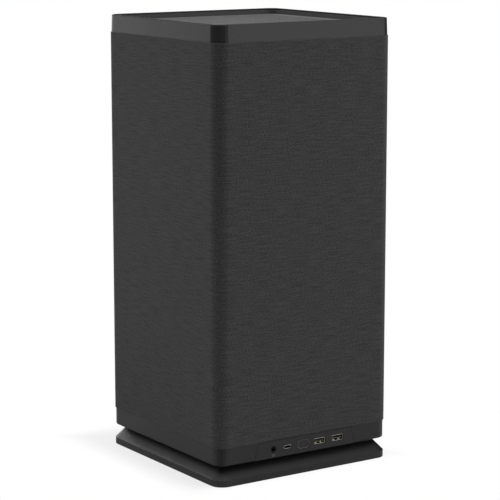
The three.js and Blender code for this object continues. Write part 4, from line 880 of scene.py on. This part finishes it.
bx, bz = B_CENTRE
mark_level = low[1] + 0.2
power_sign = [ribbon(arc(1.35, B_CENTRE, 125, 415), 0.3, mark_level),
              ribbon([(bx, bz + 0.3), (bx, bz + 1.0), (bx, bz + 1.7)], 0.3, mark_level)]
piece("power_sign", power_sign, faint_ink, "button", turn=TO_FRONT)
# The paler ring just inside the cap's edge is a painted highlight: it stands in for the light on the rolled
# edge.
line = at(B_WIDTH, B_HEIGHT, B_HEIGHT / 2, B_CENTRE, 12)
highlight_ring = stack(line, [
    (0.45, low[1] - 0.02), (0.8, low[1] + 0.02), (0.8, low[1] + 0.08), (0.45, low[1] + 0.04)], closed=True)
piece("power_cap_painted_highlight", [highlight_ring], painted_edge_highlight, "button", turn=TO_FRONT)
hx, hz = JACK_X, PORT_LEVEL - 6.2
headset_sign = [ribbon(arc(1.15, (hx, hz), 0, 180), 0.22, FACE - 0.02)]
for side in (-1, 1):
    ear = [(hx + side * 1.1, hz - drop) for drop in (0.05, 0.5, 0.95)]
    headset_sign.append(ribbon(ear, 0.5, FACE - 0.02))
piece("headset_sign", headset_sign, printed_ink, "chassis", turn=TO_FRONT)

# %% [markdown]
# The rest shows when the sleeve is lifted off. Solids stand for the boards and the cooler as a
# whole; the parts that are soldered or screwed to them are drawn here: memory chips, inductors,
# capacitors, copper heat pipes, screws and the discs on the fans' hubs. They are the same rings
# again, with the level running along X where they stand on the mainboard.

# %% Finishes of the inner parts
# Chips are moulded epoxy, matt with a fine grain; inductors are pressed from grey iron powder.
chip_epoxy = finish("moulded_chip_epoxy", ("101011", "19191b"), (0.5, 0.62), 0.4, 0.006, IOR=1.53)
iron_powder = finish("pressed_iron_powder", ("3b3c3e", "4a4b4d"), (0.55, 0.7), 0.6, 0.015, IOR=1.5)
# The heat pipes are drawn copper, already a little brown; the hub discs are anodised dark.
drawn_copper = finish("drawn_copper_pipe", ("b06a44", "c98359"), (0.22, 0.36), 2.0, 0.006, Metallic=1.0)
hub_metal = finish("anodised_hub_disc", ("3c3d40", "4d4e52"), (0.3, 0.42), 0.8, 0.004, Metallic=1.0)
black_zinc = finish("black_zinc_screw", ("1b1b1d", "29292b"), (0.3, 0.42), 0.7, 0.006, Metallic=1.0)
TO_RIGHT = np.array([[0, 1, 0], [0, 0, 1], [1, 0, 0]])


def peg(radius, centre, foot, top, edge=0.3, steps=16):
    """A round peg from one level to another, with a bevel at its top."""
    inward = edge if top > foot else -edge
    return stack(circle(radius, centre, steps), [(0, foot), (0, top - inward), (edge, top)])


print("inner finishes", chip_epoxy.name, drawn_copper.name)

# %% [markdown]
# On a mainboard the chips lie in rows on the memory modules, the inductors and capacitors of the
# power stage stand round the processor, and the chipset wears a flat heat spreader. Real boards
# have hundreds of parts; only those that show between the cooler's fins and past the fan are
# made, each a bevelled bar or a peg. A texture of parts would have no edges to catch the light.

# %% Mainboard parts
BOARD_FACE = node_box("mainboard")[0][0] + 1.6
chips = []
for module in ("memory_module_1", "memory_module_2"):
    low, high = node_box(module)
    for foot, top in ((high[2], high[2] + 1.0), (low[2] - 1.0, low[2])):
        chips += [plate(12.0, 9.0, 0.4, (-9.0, (k - 3.5) * 15.5), foot, top, 0.15) for k in range(8)]
piece("memory_chips", chips, chip_epoxy, "chassis")
spots = [(-42 + 12 * k, 128) for k in range(8)] + [(-36, 150 + 11 * k) for k in range(4)]
coils = [plate(8.0, 8.0, 1.0, spot, BOARD_FACE, BOARD_FACE + 5, 0.5) for spot in spots]
piece("inductors", coils, iron_powder, "chassis", turn=TO_RIGHT)
spots = [(-48 + 11 * k, 117) for k in range(9)] + [(36, 150 + 9 * k) for k in range(5)]
cans = [peg(3.1, spot, BOARD_FACE, BOARD_FACE + 8, 0.4) for spot in spots]
piece("capacitors", cans, mill_aluminium, "chassis", turn=TO_RIGHT)
PACKAGES = (
    (7, 7, (-62, 118)), (9, 9, (58, 122)), (14, 8, (-58, 214)), (6, 5, (54, 212)), (10, 6, (-52, 134)))
packages = [plate(w, h, 0.5, spot, BOARD_FACE, BOARD_FACE + 1.2, 0.2) for w, h, spot in PACKAGES]
packages.append(plate(30.0, 30.0, 2.0, (52.0, 158.0), BOARD_FACE, BOARD_FACE + 6, 0.6))
piece("chip_packages", packages, chip_epoxy, "chassis", turn=TO_RIGHT)

# %% [markdown]
# Heat pipes are copper tubes, pinched shut at the ends, that carry heat from the base to the
# fins. The solid already has them in plain form. These lie a little outside it, with the pinched
# ends that a drawn tube has, which the same stack of rings gives by shrinking a circle.

# %% Heat pipes
low, high = node_box("processor_cooler")
PIPE_RADIUS, PIPE_X, FIN_TOP = 3.15, high[0] - 13.0, high[0]
tubes = [stack(circle(PIPE_RADIUS, (PIPE_X, y), 20), [
    (1.6, low[2] - 1.6), (0.5, low[2] - 1.0), (0, low[2]),
    (0, high[2]), (0.5, high[2] + 1.0), (1.6, high[2] + 1.6)])
    for y in (-24.0, 24.0)]
piece("heat_pipes", tubes, drawn_copper, "chassis", smooth=True)
feet = [stack(circle(PIPE_RADIUS, (y, z), 20), [(0, low[0] + 9.5), (0, FIN_TOP - 0.4)])
        for y in (-10.0, 10.0) for z in (164.55, 190.05)]
piece("heat_pipe_feet", feet, drawn_copper, "chassis", turn=TO_RIGHT)

# %% [markdown]
# A fan's hub carries a thin metal disc with a raised rim, which is what turns visibly with it. A
# flat circle would catch no light, so the disc is a shallow dish, a stack of five circles.

# %% Hub discs
def hub_disc(radius, centre, cap, toward):
    """A shallow dish on a fan's hub: a raised rim round a flat disc, toward +1 or -1."""
    return stack(circle(radius, centre, 32), [
        (0, cap - 0.2 * toward), (0, cap + 0.2 * toward), (0.3, cap + 0.3 * toward),
        (1.4, cap + 0.3 * toward), (1.8, cap + 0.12 * toward)])


for body, node, hub, toward in (
        ("cooler_fan", "cooler_fan_rotor", 19, 1), ("supply_fan", "supply_fan_rotor", 15, 1),
        ("card_fan_lower", "card_fan_rotor_lower", 16, -1),
        ("card_fan_upper", "card_fan_rotor_upper", 16, -1)):
    low, high = node_box(node)
    cap = high[0] if toward > 0 else low[0]
    centre = (0.0, (low[2] + high[2]) / 2)
    disc = hub_disc(hub - 2.5, centre, cap, toward)
    piece(f"{body}_disc", [disc], hub_metal, body, turn=TO_RIGHT)
low, high = node_box("top_fan_rotor")
piece("top_fan_disc", [hub_disc(22.0, (0.0, 0.0), high[2], 1)], hub_metal, "top_fan")

# %% [markdown]
# Screws hold the fans' corners and the graphics card's shroud, and a raised trim runs round each
# of its two fans. Ribs stiffen the power supply's case on both sides. A bump could suggest them,
# but from the side it would vanish, so they are short pegs, rings and bars.

# %% Screws and trims
screws = []
for node, inset in (("cooler_fan_frame", 7.5), ("supply_fan_frame", 6.0)):
    low, high = node_box(node)
    face = high[0] if node.startswith("cooler") else node_box("supply_case")[1][0]
    screws += [peg(2.6, (y, z), face - 0.5, face + 1.6, 0.6, 12)
               for y in (low[1] + inset, high[1] - inset) for z in (low[2] + inset, high[2] - inset)]
piece("fan_screws", screws, black_zinc, "chassis", turn=TO_RIGHT)
low, high = node_box("top_fan_frame")
screws = [peg(2.8, (x, y), high[2] - 0.5, high[2] + 1.6, 0.6, 12)
          for x in (low[0] + 8, high[0] - 8) for y in (low[1] + 8, high[1] - 8)]
piece("top_fan_screws", screws, black_zinc, "chassis")
low, high = node_box("card_shroud")
rings = [stack(circle(47.5, (0.0, z), 64), [
    (0, low[0] + 0.2), (0, low[0] - 0.6), (0.3, low[0] - 0.9),
    (2.2, low[0] - 0.9), (2.5, low[0] - 0.6), (2.5, low[0] + 0.2)],
    closed=True) for z in (149.0, 283.0)]
middle = plate(70.0, 22.0, 3.0, (0.0, 216.0), low[0] - 0.9, low[0] + 0.2, 0.3)
piece("shroud_trim", [*rings, middle], satin_abs, "chassis", turn=TO_RIGHT)
screws = [peg(2.4, (y, z), low[0] + 0.5, low[0] - 1.2, 0.5, 12)
          for y in (-52.0, 52.0) for z in (88.0, 216.0, 344.0)]
piece("shroud_screws", screws, black_zinc, "chassis", turn=TO_RIGHT)
low, high = node_box("supply_case")
bars = [plate(2.2, 72.0, 1.0, (x, 309.0), front, back, 0.3)
        for x in np.arange(-33.0, 17.0, 4.4)
        for front, back in ((low[1] - 0.7, low[1] + 0.2), (high[1] - 0.2, high[1] + 0.7))]
piece("supply_ribs", bars, chassis_coat, "chassis", turn=TO_FRONT)

# %% [markdown]
# The power supply's finger guard is welded from round wire: three rings over two crossed bars.
# Three torus primitives would do for the rings. Here each is a flat ellipse carried round a
# circle, because the guard is thinner than its wire is wide, as in the solid it replaces.

# %% Wire guard
low, high = node_box("supply_guard")
GUARD_CENTRE, WIRE = (0.0, (low[2] + high[2]) / 2), 2.0
mid, deep = (low[0] + high[0]) / 2, (high[0] - low[0]) / 2
section = np.arange(10) * math.pi / 5
wire = [(WIRE / 2 * (1 - math.cos(t)), mid + deep * math.sin(t)) for t in section]
rings = [stack(circle(high[1] * (1 - k / 3), GUARD_CENTRE, 72), wire, closed=True) for k in range(3)]


def slanted(shell, degrees, centre):
    """A shell turned about a centre in its outline's plane: [a, b] times the rotation matrix."""
    points, faces = shell
    c, s = math.cos(math.radians(degrees)), math.sin(math.radians(degrees))
    flat = (points[:, :2] - centre) @ np.array([[c, s], [-s, c]]) + centre
    return np.column_stack([flat, points[:, 2]]), faces


bars = [slanted(plate(2 * high[1] - WIRE, WIRE, 0.9, GUARD_CENTRE, low[0], high[0], 0.4), angle, GUARD_CENTRE)
        for angle in (45, 135)]
piece("wire_guard", [*rings, *bars], nickel_steel, "chassis", ["supply_guard"], TO_RIGHT)

# %% [markdown]
# The seam at the back of the cover has a row of stitches on both sides. Each stitch is a short
# bar of thread that lies in the small furrow which its tension pulls into the cloth. A particle
# system could scatter them, but a seam is regular, so their levels are evenly spaced numbers.

# %% Seam stitches
spun_thread = finish("spun_polyester_thread", ("474747", "545454"), (0.6, 0.75), 0.3, 0.02, IOR=1.5)
low, high = node_box("cloth_wrap")
furrow = high[1] - ROW_DEPTH
stitches = [plate(0.5, 2.8, 0.24, (side * ROW_AWAY, level), furrow - 0.15, furrow + 0.22, 0.1)
            for side in (-1, 1) for level in np.arange(low[2] + 4.0, high[2] - 3.0, 4.0)]
piece("seam_stitches", stitches, spun_thread, "sleeve", turn=TO_FRONT)
